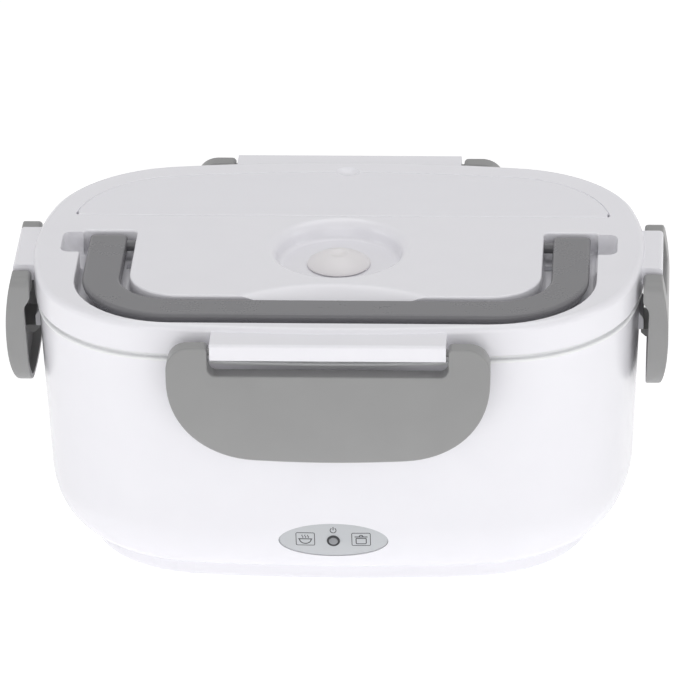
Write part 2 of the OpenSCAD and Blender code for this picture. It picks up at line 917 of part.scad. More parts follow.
// Moulded ledge that carries a latch between its ears
module latch_ledge(axis, half) {
    r = 1.4;
    difference() {
        along_x(-half, half)
            union() {
                box_2d(axis - 12, axis + ledge_out - r, axis_z - ledge_bottom, axis_z + ledge_top);
                box_2d(axis - 12, axis + ledge_out, axis_z - ledge_bottom, axis_z + ledge_top - r);
                translate([axis + ledge_out - r, axis_z + ledge_top - r])
                    circle(r = r, $fn = 32);
            }
        for (s = [-1, 1])
            translate([s * half, axis, axis_z])
                rotate([0, 90, 0])
                    cylinder(r = latch_pin_r + run_gap, h = 2 * latch_pin_l + 1, center = true);
    }
}

// Finger hollows beside the ends of the handle's arms
module notches(grow) {
    for (s = [-1, 1])
        translate([s * (handle_l / 2 + 1.1), 0, lid_top])
            rotate([90, 0, 0])
                cylinder(r = notch_r + grow, h = 2 * (notch_half + grow), center = true);
}

// Shallow hollow in the panel's front edge, where fingers reach behind the handle
module scoop(grow) {
    intersection() {
        translate([0, scoop_in - panel_front - scoop_plan_r, lid_top + scoop_up])
            sphere(r = norm([scoop_plan_r, scoop_up]) + grow, $fn = 128);
        layer(groove_z - grow, lid_top + 5)
            box_2d(-2 * scoop_half, 2 * scoop_half, -panel_front - 1, scoop_in + 8 - panel_front);
    }
}

module sides(along_y = false) {
    for (a = along_y ? [90, -90] : [0, 180])
        rotate([0, 0, a])
            children();
}

module lid_shell() {
    top_rings = [for (i = [0 : 4])
        let (a = 90 * i / 4)
        [lid_top - lid_edge_r * (1 - cos(a)), plan(lid_edge_r * (1 - sin(a)))]];
    color("white")
        difference() {
            union() {
                skin(concat(top_rings, [[lid_edge, plan(0)], [lid_edge, plan(wall)],
                    [lid_top - wall, plan(wall)]]));
                layer(groove_z - well_wall, lid_top - 1)
                    groove_2d(well_wall);
                layer(well_z - well_wall, lid_top - 1)
                    well_2d(well_wall);
                layer(cover_z - fit_gap - well_wall, lid_top - 1)
                    cover_2d(0.35 + well_wall);
                translate([0, -dish_y, dish_z - well_wall])
                    cylinder(r = dish_r - 1, h = dish_depth);
                intersection() {
                    layer(groove_z - well_wall, lid_top - 1)
                        square(lid_l, center = true);
                    union() {
                        notches(well_wall);
                        scoop(well_wall);
                    }
                }
                for (s = [-1, 1])
                    translate([s * (panel_half - 3.1), pivot_y, pivot_z])
                        rotate([0, 90, 0])
                            cylinder(r = pivot_r + 1.4, h = 4.6, center = true);
                for (s = [-1, 1])
                    translate([s * (lid_l / 2 - cover_border - 2.5), cover_axis_y, cover_axis_z - 1.2])
                        cube([7, 5.5, 3.4], center = true);
                difference() {
                    union() {
                        sides()
                            latch_ledge(axis_long, latch_long - ear_long - ledge_end_gap);
                        sides(along_y = true)
                            latch_ledge(axis_short, latch_short - ear_short - ledge_end_gap);
                    }
                    slab(plan(wall / 2), lid_edge, lid_top + 5);
                }
            }
            layer(groove_z, lid_top + 5)
                groove_2d(0);
            notches(0);
            scoop(0);
            layer(cover_z - fit_gap, lid_top + 5)
                cover_2d(0.35);
            layer(well_z, lid_top + 5)
                well_2d(0);
            translate([0, lid_w / 2 - cover_border, lid_top + 3])
                sphere(r = 6.5);
            translate([0, -dish_y, 0])
                rotate_extrude($fn = 96)
                    union() {
                        box_2d(0, dish_r - 3.2, dish_z, lid_top + 1);
                        polygon([[0, dish_z + 1.2], [dish_r - 2, dish_z + 1.2], [dish_r - 1, lid_top - 0.8],
                            [dish_r, lid_top + eps], [0, lid_top + eps]]);
                        translate([dish_r - 3.2, dish_z + 1.2])
                            circle(r = 1.2, $fn = 32);
                    }
            translate([0, -dish_y, dish_z - 5])
                cylinder(r = cap_stem_r + run_gap, h = 20);
            for (s = [-1, 1])
                translate([s * (panel_half - 2.4), pivot_y, pivot_z])
                    rotate([0, 90, 0])
                        cylinder(r = pivot_r + run_gap, h = 7.4, center = true);
            for (s = [-1, 1])
                translate([s * (panel_half + panel_gap / 2) - 1.4, -5.4, groove_z - 5])
                    cube([2.8, 5, 6]);
            for (s = [-1, 1])
                translate([s * (lid_l / 2 - cover_border - 1), cover_axis_y, cover_axis_z])
                    rotate([0, 90, 0])
                        cylinder(r = cover_pin_r + run_gap, h = 2 * cover_pin_l + 3, center = true,
                            $fn = 32);
        }
}

module lid_liner() {
    low = lid_edge - plug_depth;
    seal_z = rim_top - 1.2 - seal_h;
    color("gainsboro")
        difference() {
            union() {
                slab(plan(wall + 0.1), liner_z - liner_t, liner_z);
                wall_slab(plan(plug_in), plan(plug_in + seal_bite + liner_t), low, liner_z - eps);
                slab(plan(plug_in), low, low + liner_t);
            }
            wall_slab(plan(plug_in - 1), plan(plug_in + seal_bite), seal_z, seal_z + seal_h);
            translate([0, -dish_y, 0])
                cylinder(r = cap_stem_r + 1.5, h = 200);
        }
}

module lid_seal() {
    seal_z = rim_top - 1.2 - seal_h;
    color("lightgray")
        wall_slab(plan(seal_in), plan(plug_in + seal_bite - 0.1), seal_z + 0.1, seal_z + seal_h - 0.1);
}

module vent_cap() {
    base = dish_z + 0.2;
    dome_r = (cap_r * cap_r + cap_h * cap_h) / (2 * cap_h);
    color("gainsboro")
        translate([0, -dish_y, 0])
            difference() {
                union() {
                    intersection() {
                        translate([0, 0, base + cap_h - dome_r])
                            sphere(r = dome_r, $fn = 96);
                        translate([0, 0, base])
                            cylinder(r = cap_r - 0.6, h = cap_h + 1);
                    }
                    translate([0, 0, base - well_wall - 2.4])
                        cylinder(r = cap_stem_r, h = well_wall + 3);
                    translate([0, 0, base - well_wall - 3.4])
                        cylinder(r = cap_stem_r - 0.5, h = 2);
                }
                translate([0, 0, base + cap_h + 3.6])
                    sphere(r = 5);
            }
}

module spoon_cover() {
    half = lid_l / 2 - cover_border - 3.5;
    color("ghostwhite")
        difference() {
            union() {
                difference() {
                    layer(cover_z, lid_top)
                        cover_2d(0);
                    translate([-lid_l / 2, cover_front - 5, cover_z - 1])
                        cube([lid_l, 5 + cover_t / 2, cover_t + 2]);
                    for (a = [0, 180])
                        translate([0, cover_axis_y, cover_z - 1])
                            rotate([0, a, 0])
                                translate([half - 0.5, -5, -2 * cover_t])
                                    cube([20, 5 + cover_t, 4 * cover_t]);
                }
                translate([0, cover_axis_y, cover_axis_z])
                    rotate([0, 90, 0])
                        cylinder(r = cover_t / 2, h = 2 * half - 1, center = true);
                for (s = [-1, 1])
                    translate([s * half, cover_axis_y, cover_axis_z])
                        rotate([0, 90, 0])
                            cylinder(r = cover_pin_r, h = 2 * cover_pin_l + 1.6, center = true, $fn = 32);
            }
            translate([0, lid_w / 2 - cover_border, lid_top + 3])
                sphere(r = 6.5);
        }
}

spoon_y = (cover_front + lid_w / 2 - cover_border) / 2;
spoon_sheet = 1.2;
spoon_w = 2 * (spoon_y - well_front - spoon_gap);
bowl_long = 1.35;    // bowl's length over its width
bowl_deep = 6.3;     // how far the bowl rises from its middle to its ends
grip_w = 9;
bowl_half = spoon_w / 2 * bowl_long;
bowl_x = bowl_half - spoon_l / 2 + 3.5;
grip_x = spoon_l / 2 + 3.5 - 6;

// Spoon that lies in the well, bowl to the left
module spoon() {
    bowl_r = (pow(bowl_half, 2) + pow(bowl_deep, 2)) / (2 * bowl_deep);
    color("silver")
        translate([0, spoon_y, well_z + 0.2])
            intersection() {
                layer(0, spoon_h)
                    union() {
                        translate([bowl_x, 0])
                            scale([bowl_long, 1])
                                circle(r = spoon_w / 2);
                        box_2d(bowl_x + spoon_w / 3, grip_x, -grip_w / 2, grip_w / 2);
                        translate([grip_x, 0])
                            circle(r = 6);
                    }
                union() {
                    translate([bowl_x, 0, bowl_r])
                        difference() {
                            sphere(r = bowl_r, $fn = 96);
                            sphere(r = bowl_r - spoon_sheet, $fn = 96);
                        }
                    translate([bowl_x + spoon_w / 2 + 1, -spoon_w / 2, spoon_h - spoon_sheet - 0.2])
                        cube([spoon_l, spoon_w, spoon_sheet + 0.2]);
                }
            }
}

// Section of the handle: flat top, and an outer side that runs in under the bar
module handle_profile() {
    t = handle_t / 2;
    w = handle_w / 2;
    r = 1.5;
    hull() {
        translate([w - r, t - r])
            circle(r = r, $fn = 24);
        translate([w - 4.4, 2.4 - t])
            circle(r = 2.4, $fn = 32);
        for (z = [t - r, r - t])
            translate([r - w, z])
                circle(r = r, $fn = 24);
    }
}

module handle() {
    mid = handle_l / 2 - handle_w / 2;
    bend = handle_r - handle_w / 2;
    front = handle_front - handle_w / 2;
    t = handle_t / 2;
    color("gray")
        translate([0, 0, pivot_z]) {
            for (s = [0, 1])
                mirror([s, 0, 0]) {
                    intersection() {
                        translate([mid, bend - front, 0])
                            rotate([90, 0, 180])
                                mirror([1, 0, 0])
                                    linear_extrude(height = front - bend + pivot_y + handle_end + t)
                                        handle_profile();
                        along_x(0, handle_l)
                            union() {
                                translate([pivot_y + handle_end, 0])
                                    circle(r = handle_t / 2);
                                box_2d(-lid_w, pivot_y + handle_end, -handle_t, handle_t);
                            }
                    }
                    translate([mid - bend, bend - front, 0])
                        rotate_extrude(angle = 90, start = -90, $fn = 128)
                            translate([bend, 0])
                                handle_profile();
                    translate([mid - handle_w / 2 - panel_gap - 3.6, pivot_y, 0])
                        rotate([0, 90, 0])
                            cylinder(r = pivot_r, h = panel_gap + 6);
                }
            translate([bend - mid, -front, 0])
                rotate([90, 0, 90])
                    linear_extrude(height = 2 * (mid - bend))
                        mirror([1, 0, 0])
                            handle_profile();
        }
}

// Side view of a latch: plate and ears between two faces, 0 is the axis
module latch_side(low, high) {
    intersection() {
        translate([latch_face - latch_face_r, -latch_fat])
            circle(r = latch_face_r, $fn = 256);
        polygon([[-plate_in_bottom, -latch_h], [12, -latch_h], [12, high], [-plate_in_top, high],
            [-plate_in_top, latch_top - axis_z]]);
        box_2d(-20, 20, low, high);
    }
}

// Front view of a latch's plate: bowed lower edge, round corners, and the slot's lower corners
module latch_plate_2d(half, ear_w, r, bow, grow) {
    z0 = -latch_h;
    z1 = latch_top - axis_z;
    offset(delta = grow)
        difference() {
            rounded(r)
                intersection() {
                    box_2d(-half, half, z0, z1 + slot_r + 2 * r);
                    translate([0, z0 + bow])
                        circle(r = bow, $fn = 256);
                }
            box_2d(-half - 1, half + 1, z1 + slot_r, z1 + 3 * r + slot_r);
            rounded(slot_r)
                box_2d(ear_w - half, half - ear_w, z1, z1 + 2 * slot_r + 10);
        }
}

// Latch around its own axis, +Y out; reach is how far its hook comes in past the axis
module latch(half, ear_w, r, bow, ear_r, hook_half, reach) {
    low = -latch_h;
    high = latch_top - axis_z;
    hook_z = catch_z - fit_gap - axis_z;
    hook_root = latch_face - latch_wall + 0.6;
    color("darkgray") {
        difference() {
            intersection() {
                along_y(-20, 20)
                    latch_plate_2d(half, ear_w, r, bow, 0);
                along_x(-half, half)
                    latch_side(low - 1, high + slot_r + 1);
            }
            intersection() {
                intersection() {
                    along_y(-20, 20)
                        latch_plate_2d(half, ear_w, r, bow, -latch_wall);
                    along_y(-20, 20)
                        box_2d(-half, half, low, high - latch_wall);
                }
                along_x(-half, half)
                    translate([latch_face - latch_face_r, -latch_fat])
                        circle(r = latch_face_r - latch_wall, $fn = 256);
            }
        }
        // ears, rounded about the axis so that they clear the lid's wall
        for (s = [-1, 1])
            intersection() {
                along_x(s > 0 ? half - ear_w : -half, s > 0 ? half : ear_w - half)
                    intersection() {
                        translate([latch_face - latch_face_r, -latch_fat])
                            circle(r = latch_face_r, $fn = 256);
                        union() {
                            circle(r = ear_in);
                            polygon([[-ear_in, 0], [12, 0], [12, high - 3], [-plate_in_top, high - 3],
                                [-plate_in_top, high - 0.4], [-ear_in, high + 2.6]]);
                            box_2d(0, 12, 0, 12);
                        }
                        box_2d(-12, 12, high - 3, ear_top);
                    }
                along_y(-20, 20)
                    union() {
                        box_2d(-half, half, high - 3, ear_top - ear_r);
                        box_2d(ear_r - half, half - ear_r, high - 3, ear_top);
                        for (t = [-1, 1])
                            translate([t * (half - ear_r), ear_top - ear_r])
                                circle(r = ear_r);
                    }
            }
        // pins that turn in the lid's ledge
        for (s = [-1, 1])
            translate([s * (half - ear_w) - s * (latch_pin_l + 0.9) / 2 + s * 0.9, 0, 0])
                rotate([0, 90, 0])
                    cylinder(r = latch_pin_r, h = latch_pin_l + 0.9, center = true);
        // hook
        along_x(-hook_half, hook_half)
            polygon([[hook_root, hook_z], [-reach, hook_z], [-reach, hook_z - 1.4],
                [-plate_in_bottom, hook_z - hook_t], [hook_root, hook_z - hook_t]]);
    }
}

hook_in_long = axis_long - (hw - 0.7 + 1.4);
hook_in_short = axis_short - (hl - 0.7 + 0.6);

module place_latch(angle, axis) {
    rotate([0, 0, angle])
        translate([0, axis, axis_z])
            children();
}

module long_latch() {
    latch(latch_long, ear_long, latch_r_long, latch_bow_long, 8, catch_long - 2, hook_in_long);
}

module short_latch() {
    latch(latch_short, ear_short, latch_r_short, latch_bow_short, 5, catch_short - 1, hook_in_short);
}

module latch_back() {
    place_latch(0, axis_long)
        long_latch();
}

module latch_front() {
    place_latch(180, axis_long)
        long_latch();
}

module latch_left() {
    place_latch(90, axis_short)
        short_latch();
}

module latch_right() {
    place_latch(-90, axis_short)
        short_latch();
}

// --- nodes --------------------------------------------------------------------------

body_shell();
base_cover();
base_screws();
feet();
inner_tub();
plate_gasket();
heating_plate();
ptc_heater();
thermal_cutoff();
heater_clamp();
clamp_screws();
power_inlet();
inlet_pins();
wire_harness();
control_plate();
indicator_lens();
led_board();
food_container();
side_box();
side_box_lid();
lid_shell();
lid_liner();
lid_seal();
vent_cap();
spoon_cover();
spoon();
handle();
latch_front();
latch_back();
latch_left();
latch_right();
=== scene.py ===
import math

import bmesh
import bpy
import numpy as np
from mathutils import Matrix, Vector


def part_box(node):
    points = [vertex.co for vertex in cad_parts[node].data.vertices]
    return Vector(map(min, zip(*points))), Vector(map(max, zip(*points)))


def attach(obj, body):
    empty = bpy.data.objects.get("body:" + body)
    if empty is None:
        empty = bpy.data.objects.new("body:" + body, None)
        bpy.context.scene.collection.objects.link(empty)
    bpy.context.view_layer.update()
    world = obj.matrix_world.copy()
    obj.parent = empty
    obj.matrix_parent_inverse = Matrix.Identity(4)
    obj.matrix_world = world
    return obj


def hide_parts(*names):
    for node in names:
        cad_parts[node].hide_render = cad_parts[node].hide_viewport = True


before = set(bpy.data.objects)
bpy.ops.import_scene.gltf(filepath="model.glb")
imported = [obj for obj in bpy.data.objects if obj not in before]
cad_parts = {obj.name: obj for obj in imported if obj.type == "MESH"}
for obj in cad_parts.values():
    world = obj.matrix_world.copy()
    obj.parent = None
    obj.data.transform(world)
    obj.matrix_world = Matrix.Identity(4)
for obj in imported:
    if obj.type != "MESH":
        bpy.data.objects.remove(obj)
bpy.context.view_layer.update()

# --- Body shell -------------------------------------------------------------------------
# The white outer shell, one injection moulding of glossy plastic. Seen from above its sides
# are four shallow arcs; its wall leans in a little and then rolls under into the base.

MM = 0.001

LID_HALF = (110.0, 72.5)
SIDE_R = (480.0, 120.0)
CORNER_R = 50.0
ARC_STEPS = (12, 20, 36)

BODY_IN = 1.3
BODY_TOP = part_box("inner_tub")[1].z / MM - 2.2
PLINTH_TOP = 7.0
TUCK_TOP = 27.0
DRAFT = 3.0
TUCK = 14.0
TUCK_POW = 1.65
TUCK_Y = 0.72
TUCK_R = 0.235
WALL = 2.2
LIP = 16.0


def four_sides(a, b, ra, rb, r):
    """Outline of four shallow arcs and four corner arcs, each (x, y, radius, from, to, steps)."""
    p, q = np.array([0.0, b - ra]), np.array([a - rb, 0.0])
    d = np.linalg.norm(q - p)
    e = (q - p) / d
    t = (d * d + (ra - r) ** 2 - (rb - r) ** 2) / (2 * d)
    x, y = p + e * t + math.sqrt((ra - r) ** 2 - t * t) * np.array([e[1], -e[0]])
    low = math.degrees(math.atan2(y, x - a + rb))
    high = math.degrees(math.atan2(y - b + ra, x))
    side, corner, front = ARC_STEPS
    return [
        (a - rb, 0, rb, -low, low, side),
        (x, y, r, low, high, corner),
        (0, b - ra, ra, high, 180 - high, front),
        (-x, y, r, 180 - high, 180 - low, corner),
        (rb - a, 0, rb, 180 - low, 180 + low, side),
        (-x, -y, r, 180 + low, 180 + high, corner),
        (0, ra - b, ra, 180 + high, 360 - high, front),
        (x, -y, r, 360 - high, 360 - low, corner),
    ]


def ring(arcs, grow=0.0):
    """Points along an outline of arcs, moved out by grow. An arc that turns back is a hollow corner."""
    points = []
    for x, y, r, a, b, steps in arcs:
        radius = max(r + (grow if b > a else -grow), 0.0)
        for angle in np.radians(np.linspace(a, b, steps + 1)):
            points.append((x + radius * math.cos(angle), y + radius * math.sin(angle)))
    return np.array(points)


def corners(points, steps=8):
    """Arcs for a polygon whose corners (x, y, radius) run anticlockwise."""
    arcs = []
    count = len(points)
    for i, (x, y, r) in enumerate(points):
        before = np.array(points[i - 1][:2], float)
        after = np.array(points[(i + 1) % count][:2], float)
        here = np.array([x, y], float)
        u = (here - before) / np.linalg.norm(here - before)
        v = (after - here) / np.linalg.norm(after - here)
        n1, n2 = np.array([-u[1], u[0]]), np.array([-v[1], v[0]])
        side = 1 if u[0] * v[1] - u[1] * v[0] > 0 else -1
        centre = here + side * r * (n1 + n2) / (1 + n1 @ n2)
        a = math.degrees(math.atan2(-side * n1[1], -side * n1[0]))
        b = math.degrees(math.atan2(-side * n2[1], -side * n2[0]))
        turn = (b - a) % 360 if side > 0 else -((a - b) % 360)
        arcs.append((centre[0], centre[1], r, a, a + turn, steps))
    return arcs


def bend_path(points, steps=6):
    """Open line through (x, y, radius) whose inner corners are rounded."""
    line = [np.array(points[0][:2], float)]
    for i in range(1, len(points) - 1):
        here = np.array(points[i][:2], float)
        u = here - np.array(points[i - 1][:2], float)
        v = np.array(points[i + 1][:2], float) - here
        u, v = u / np.linalg.norm(u), v / np.linalg.norm(v)
        turn = math.acos(max(-1.0, min(1.0, u @ v)))
        r = points[i][2]
        if r == 0 or turn < 0.01:
            line.append(here)
            continue
        reach = r * math.tan(turn / 2)
        side = 1 if u[0] * v[1] - u[1] * v[0] > 0 else -1
        centre = here - u * reach + side * r * np.array([-u[1], u[0]])
        start = here - u * reach - centre
        for k in range(steps + 1):
            angle = side * turn * k / steps
            c, s = math.cos(angle), math.sin(angle)
            line.append(centre + np.array([c * start[0] - s * start[1], s * start[0] + c * start[1]]))
    line.append(np.array(points[-1][:2], float))
    return [tuple(p) for p in line]


def new_piece(name, points, faces):
    """Mesh object from points in millimetres."""
    mesh = bpy.data.meshes.new(name)
    mesh.from_pydata((np.array(points) * MM).tolist(), [], faces)
    tidy = bmesh.new()
    tidy.from_mesh(mesh)
    bmesh.ops.remove_doubles(tidy, verts=tidy.verts, dist=1e-7)
    bmesh.ops.dissolve_degenerate(tidy, edges=tidy.edges, dist=1e-7)
    bmesh.ops.recalc_face_normals(tidy, faces=tidy.faces)
    tidy.to_mesh(mesh)
    tidy.free()
    piece = bpy.data.objects.new(name, mesh)
    bpy.context.scene.collection.objects.link(piece)
    return piece


def loft(name, rings, closed=False):
    """Skin through rings of 3-D points, with flat ends or joined end to end."""
    count, size = len(rings), len(rings[0])
    points = np.concatenate(rings)
    faces = []
    for i in range(count if closed else count - 1):
        a, b = i * size, ((i + 1) % count) * size
        faces += [(a + j, a + (j + 1) % size, b + (j + 1) % size, b + j) for j in range(size)]
    if not closed:
        faces.append(tuple(reversed(range(size))))
        faces.append(tuple(range((count - 1) * size, count * size)))
    return new_piece(name, points, faces)


def at_height(points, z):
    """Flat ring of points at height z."""
    return np.column_stack([points, np.full(len(points), float(z))])


def moulding(name, arcs, profile, closed=False):
    """Solid that follows an outline, its profile given as (distance out, height)."""
    return loft(name, [at_height(ring(arcs, d), z) for d, z in profile], closed)


def combine(piece, tools, operation="DIFFERENCE"):
    """Cuts the tools from a piece, or joins them to it, and removes the tools."""
    for tool in tools:
        step = piece.modifiers.new("step", "BOOLEAN")
        step.operation = operation
        step.solver = "MANIFOLD"
        step.object = tool
    depsgraph = bpy.context.evaluated_depsgraph_get()
    result = bpy.data.meshes.new_from_object(piece.evaluated_get(depsgraph))
    piece.modifiers.clear()
    piece.data = result
    for tool in tools:
        bpy.data.objects.remove(tool)
    return piece


def finish_piece(piece, body, material, slot, *nodes, angle=32):
    """Smooth shading that keeps edges, a material, and the piece's place in the assembly."""
    piece.data.materials.clear()
    piece.data.materials.append(material)
    piece.data.shade_smooth()
    piece.data.set_sharp_from_angle(angle=math.radians(angle))
    weigh = piece.modifiers.new("flat faces stay flat", "WEIGHTED_NORMAL")
    weigh.mode = "FACE_AREA"
    weigh.weight = 80
    weigh.keep_sharp = True
    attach(piece, body)
    if nodes:
        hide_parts(*nodes)
    return piece


# Fine unevenness of a surface, shared by every material made here
grain = bpy.data.node_groups.new("moulded grain", "ShaderNodeTree")
for socket, value in (("Scale", 900.0), ("Waves", 60.0), ("Depth", 0.3)):
    grain.interface.new_socket(socket, in_out="INPUT", socket_type="NodeSocketFloat").default_value = value
grain.interface.new_socket("Shade", in_out="OUTPUT", socket_type="NodeSocketFloat")
grain.interface.new_socket("Height", in_out="OUTPUT", socket_type="NodeSocketFloat")
grain_in = grain.nodes.new("NodeGroupInput")
grain_out = grain.nodes.new("NodeGroupOutput")
grain_place = grain.nodes.new("ShaderNodeTexCoord")
grain_fine = grain.nodes.new("ShaderNodeTexNoise")
grain_broad = grain.nodes.new("ShaderNodeTexNoise")
grain_fine.inputs["Detail"].default_value = 3
grain_broad.inputs["Detail"].default_value = 2
grain_mix = grain.nodes.new("ShaderNodeMix")
for source, output, target, socket in (
        (grain_place, "Object", grain_fine, "Vector"), (grain_place, "Object", grain_broad, "Vector"),
        (grain_in, "Scale", grain_fine, "Scale"), (grain_in, "Waves", grain_broad, "Scale"),
        (grain_in, "Depth", grain_mix, "Factor"), (grain_broad, "Fac", grain_mix, "A"),
        (grain_fine, "Fac", grain_mix, "B"), (grain_broad, "Fac", grain_out, "Shade"),
        (grain_mix, "Result", grain_out, "Height")):
    grain.links.new(source.outputs[output], target.inputs[socket])


def plastic(name, dark, light, rough, bump, scale=900.0, waves=60.0, **constants):
    """Plastic, or metal by its Metallic value; colour and skin are a little uneven."""
    material = bpy.data.materials.new(name)
    material.use_nodes = True
    nodes, links = material.node_tree.nodes, material.node_tree.links
    shader = nodes["Principled BSDF"]
    skin = nodes.new("ShaderNodeGroup")
    skin.node_tree = grain
    skin.inputs["Scale"].default_value = scale
    skin.inputs["Waves"].default_value = waves
    colour = nodes.new("ShaderNodeMix")
    colour.data_type = "RGBA"
    colour.inputs["A"].default_value = (*dark, 1)
    colour.inputs["B"].default_value = (*light, 1)
    links.new(skin.outputs["Shade"], colour.inputs["Factor"])
    links.new(colour.outputs["Result"], shader.inputs["Base Color"])
    shine = nodes.new("ShaderNodeMapRange")
    shine.inputs["To Min"].default_value = rough[0]
    shine.inputs["To Max"].default_value = rough[1]
    links.new(skin.outputs["Height"], shine.inputs["Value"])
    links.new(shine.outputs["Result"], shader.inputs["Roughness"])
    relief = nodes.new("ShaderNodeBump")
    relief.inputs["Strength"].default_value = bump
    relief.inputs["Distance"].default_value = 0.0002
    links.new(skin.outputs["Height"], relief.inputs["Height"])
    links.new(relief.outputs["Normal"], shader.inputs["Normal"])
    for socket, value in constants.items():
        shader.inputs[socket.replace("_", " ")].default_value = value
    return material


white = plastic("glossy white plastic", (0.85, 0.843, 0.885), (0.88, 0.873, 0.912), (0.2, 0.3), 0.012)


def body_outline_at(k, w=0.0):
    """The body's outline where its wall has drawn in by k, w inside its face."""
    return four_sides(LID_HALF[0] - BODY_IN - k - w, LID_HALF[1] - BODY_IN - TUCK_Y * k - w,
                      SIDE_R[0] - BODY_IN - w, SIDE_R[1] - BODY_IN - w, CORNER_R - BODY_IN - TUCK_R * k - w)


def pull_in(z):
    """How far the body's wall has drawn in at height z."""
    if z >= TUCK_TOP:
        return DRAFT * (BODY_TOP - z) / (BODY_TOP - TUCK_TOP)
    down = (TUCK_TOP - z) / (TUCK_TOP - PLINTH_TOP)
    return DRAFT + TUCK * (1 - (1 - down ** TUCK_POW) ** (1 / TUCK_POW))


def wall_heights(low, steps):
    """Heights down the rounded lower edge, closer together where it turns."""
    return [TUCK_TOP - (TUCK_TOP - low) * math.sin(math.pi / 2 * i / steps) ** (2 / TUCK_POW)
            for i in range(steps + 1)]


base_k = DRAFT + TUCK
outside = [at_height(ring(body_outline_at(pull_in(z))), z)
           for z in [BODY_TOP, 80, 60, 40] + wall_heights(PLINTH_TOP, 22)]
under = [at_height(ring(body_outline_at(base_k, LIP)), z) for z in (PLINTH_TOP, PLINTH_TOP + WALL)]
inside = [at_height(ring(body_outline_at(pull_in(min(z, BODY_TOP)), WALL)), z + WALL * (z < TUCK_TOP))
          for z in reversed([BODY_TOP, 60] + wall_heights(PLINTH_TOP, 10))]
body_shell = loft("body_shell_moulding", outside + under + inside, closed=True)

# ridges that the latches' hooks catch under
CATCH_Z = BODY_TOP - 14.2
CATCH_H = 4.0


def along_x(name, x0, x1, profile):
    """Bar along X with a profile of (y, z) points."""
    profile = np.array(profile)
    ends = [np.column_stack([np.full(len(profile), x), profile]) for x in (x0, x1)]
    return loft(name, ends)


def turned(piece, degrees):
    """Turns a piece about the vertical axis through the middle."""
    piece.data.transform(Matrix.Rotation(math.radians(degrees), 4, "Z"))
    return piece


ridges = []
for turn, reach, half, proud in ((0, 1, 30, 2.7), (180, 1, 30, 2.7), (90, 0, 10, 1.5), (-90, 0, 10, 1.5)):
    wall_y = LID_HALF[reach] - BODY_IN - pull_in(CATCH_Z) * (TUCK_Y if reach else 1)
    face = LID_HALF[reach] - BODY_IN - DRAFT * (BODY_TOP - CATCH_Z) / (BODY_TOP - TUCK_TOP) + proud
    ridge = bend_path([(wall_y - 1.5, CATCH_Z, 0), (face, CATCH_Z, 0.5),
                                   (face, CATCH_Z + CATCH_H, 0.7),
                                   (wall_y - 1.5, CATCH_Z + CATCH_H + 5, 0)])
    ridges.append(turned(along_x("ridge", -half, half, ridge), turn))
combine(body_shell, ridges, "UNION")

# --- Power inlet ------------------------------------------------------------------------
# A black two-pin inlet that sits in a raised frame low on the back of the body shell.

INLET_HALF = 13.0
INLET_Z = (9.8, 24.4)
INLET_FACE = LID_HALF[1] - BODY_IN - 2.4
PIN_X = 4.3
SOCKET_R = 4.1
SOCKET_DEPTH = 12.0
inlet_mid = sum(INLET_Z) / 2


def inlet_ring(grow, y):
    """Rounded rectangle around the inlet in the plane at y."""
    low, high = INLET_Z
    r = 2 + grow / 2
    box = corners([(-INLET_HALF - grow, low - grow, r), (INLET_HALF + grow, low - grow, r),
                   (INLET_HALF + grow, high + grow, r), (-INLET_HALF - grow, high + grow, r)])
    points = ring(box)
    return np.column_stack([points[:, 0], np.full(len(points), y), points[:, 1]])


frame_profile = bend_path([(6.4, -8.0, 0), (3.2, -1.0, 1.4), (2.2, 0.0, 0.9), (0.0, 0.0, 0)])
inlet_frame = loft("inlet frame", [inlet_ring(grow, INLET_FACE + y) for grow, y in frame_profile])
trims = [moulding("trim", four_sides(*LID_HALF, *SIDE_R, CORNER_R), [(-9.9, 24.0), (-9.9, 60.0)]),
         moulding("trim", four_sides(*LID_HALF, *SIDE_R, CORNER_R), [(0, -9.0), (0, PLINTH_TOP)])]
combine(inlet_frame, trims)
combine(body_shell, [inlet_frame], "UNION")
combine(body_shell, [loft("inlet hole", [inlet_ring(0.15, 40), inlet_ring(0.15, INLET_FACE + 3)])])

black = plastic("black socket plastic", (0.012, 0.012, 0.013), (0.02, 0.02, 0.022), (0.32, 0.45), 0.1)
pin_brass = plastic("nickelled brass", (0.62, 0.6, 0.55), (0.7, 0.68, 0.63), (0.16, 0.26), 0.04,
                    Metallic=1.0)


def inlet_socket(grow, y):
    """The socket's two-lobed mouth in the plane at y."""
    r = SOCKET_R + grow
    lobe = [(s * PIN_X + r * math.cos(a), r * math.sin(a)) for s, a0 in ((1, -90), (-1, 90))
            for a in np.radians(np.linspace(a0, a0 + 180, 25))]
    lobe = np.array(lobe)
    return np.column_stack([lobe[:, 0], np.full(len(lobe), y), lobe[:, 1] + inlet_mid])


block_profile = bend_path([(0.0, -16.6, 0), (0.0, -0.2, 0.6), (-3.0, -0.2, 0)])
inlet = loft("inlet_block", [inlet_ring(d, INLET_FACE + y) for d, y in block_profile])
mouth_profile = bend_path([(0.0, -SOCKET_DEPTH, 0), (0.0, -0.2, 0.5), (1.2, -0.19, 0), (1.2, 1.0, 0)])
combine(inlet, [loft("mouth", [inlet_socket(d, INLET_FACE + y) for d, y in mouth_profile])])
finish_piece(inlet, "base", black, "black_plastic", "power_inlet")

# --- Front plate and indicator ----------------------------------------------------------
# A satin silver oval set into the lower front of the body, with a lamp window in a black
# ring at its middle, two framed pictures of food and a standby sign printed in dark grey.

OVAL = (19.4, 7.3)
OVAL_Z = 21.8
PLATE_SUNK = 1.3


def front_wall(x, z):
    """The body's front surface."""
    k = pull_in(z)
    r = SIDE_R[0] - BODY_IN
    return -(LID_HALF[1] - BODY_IN - TUCK_Y * k - r + math.sqrt(r * r - x * x))


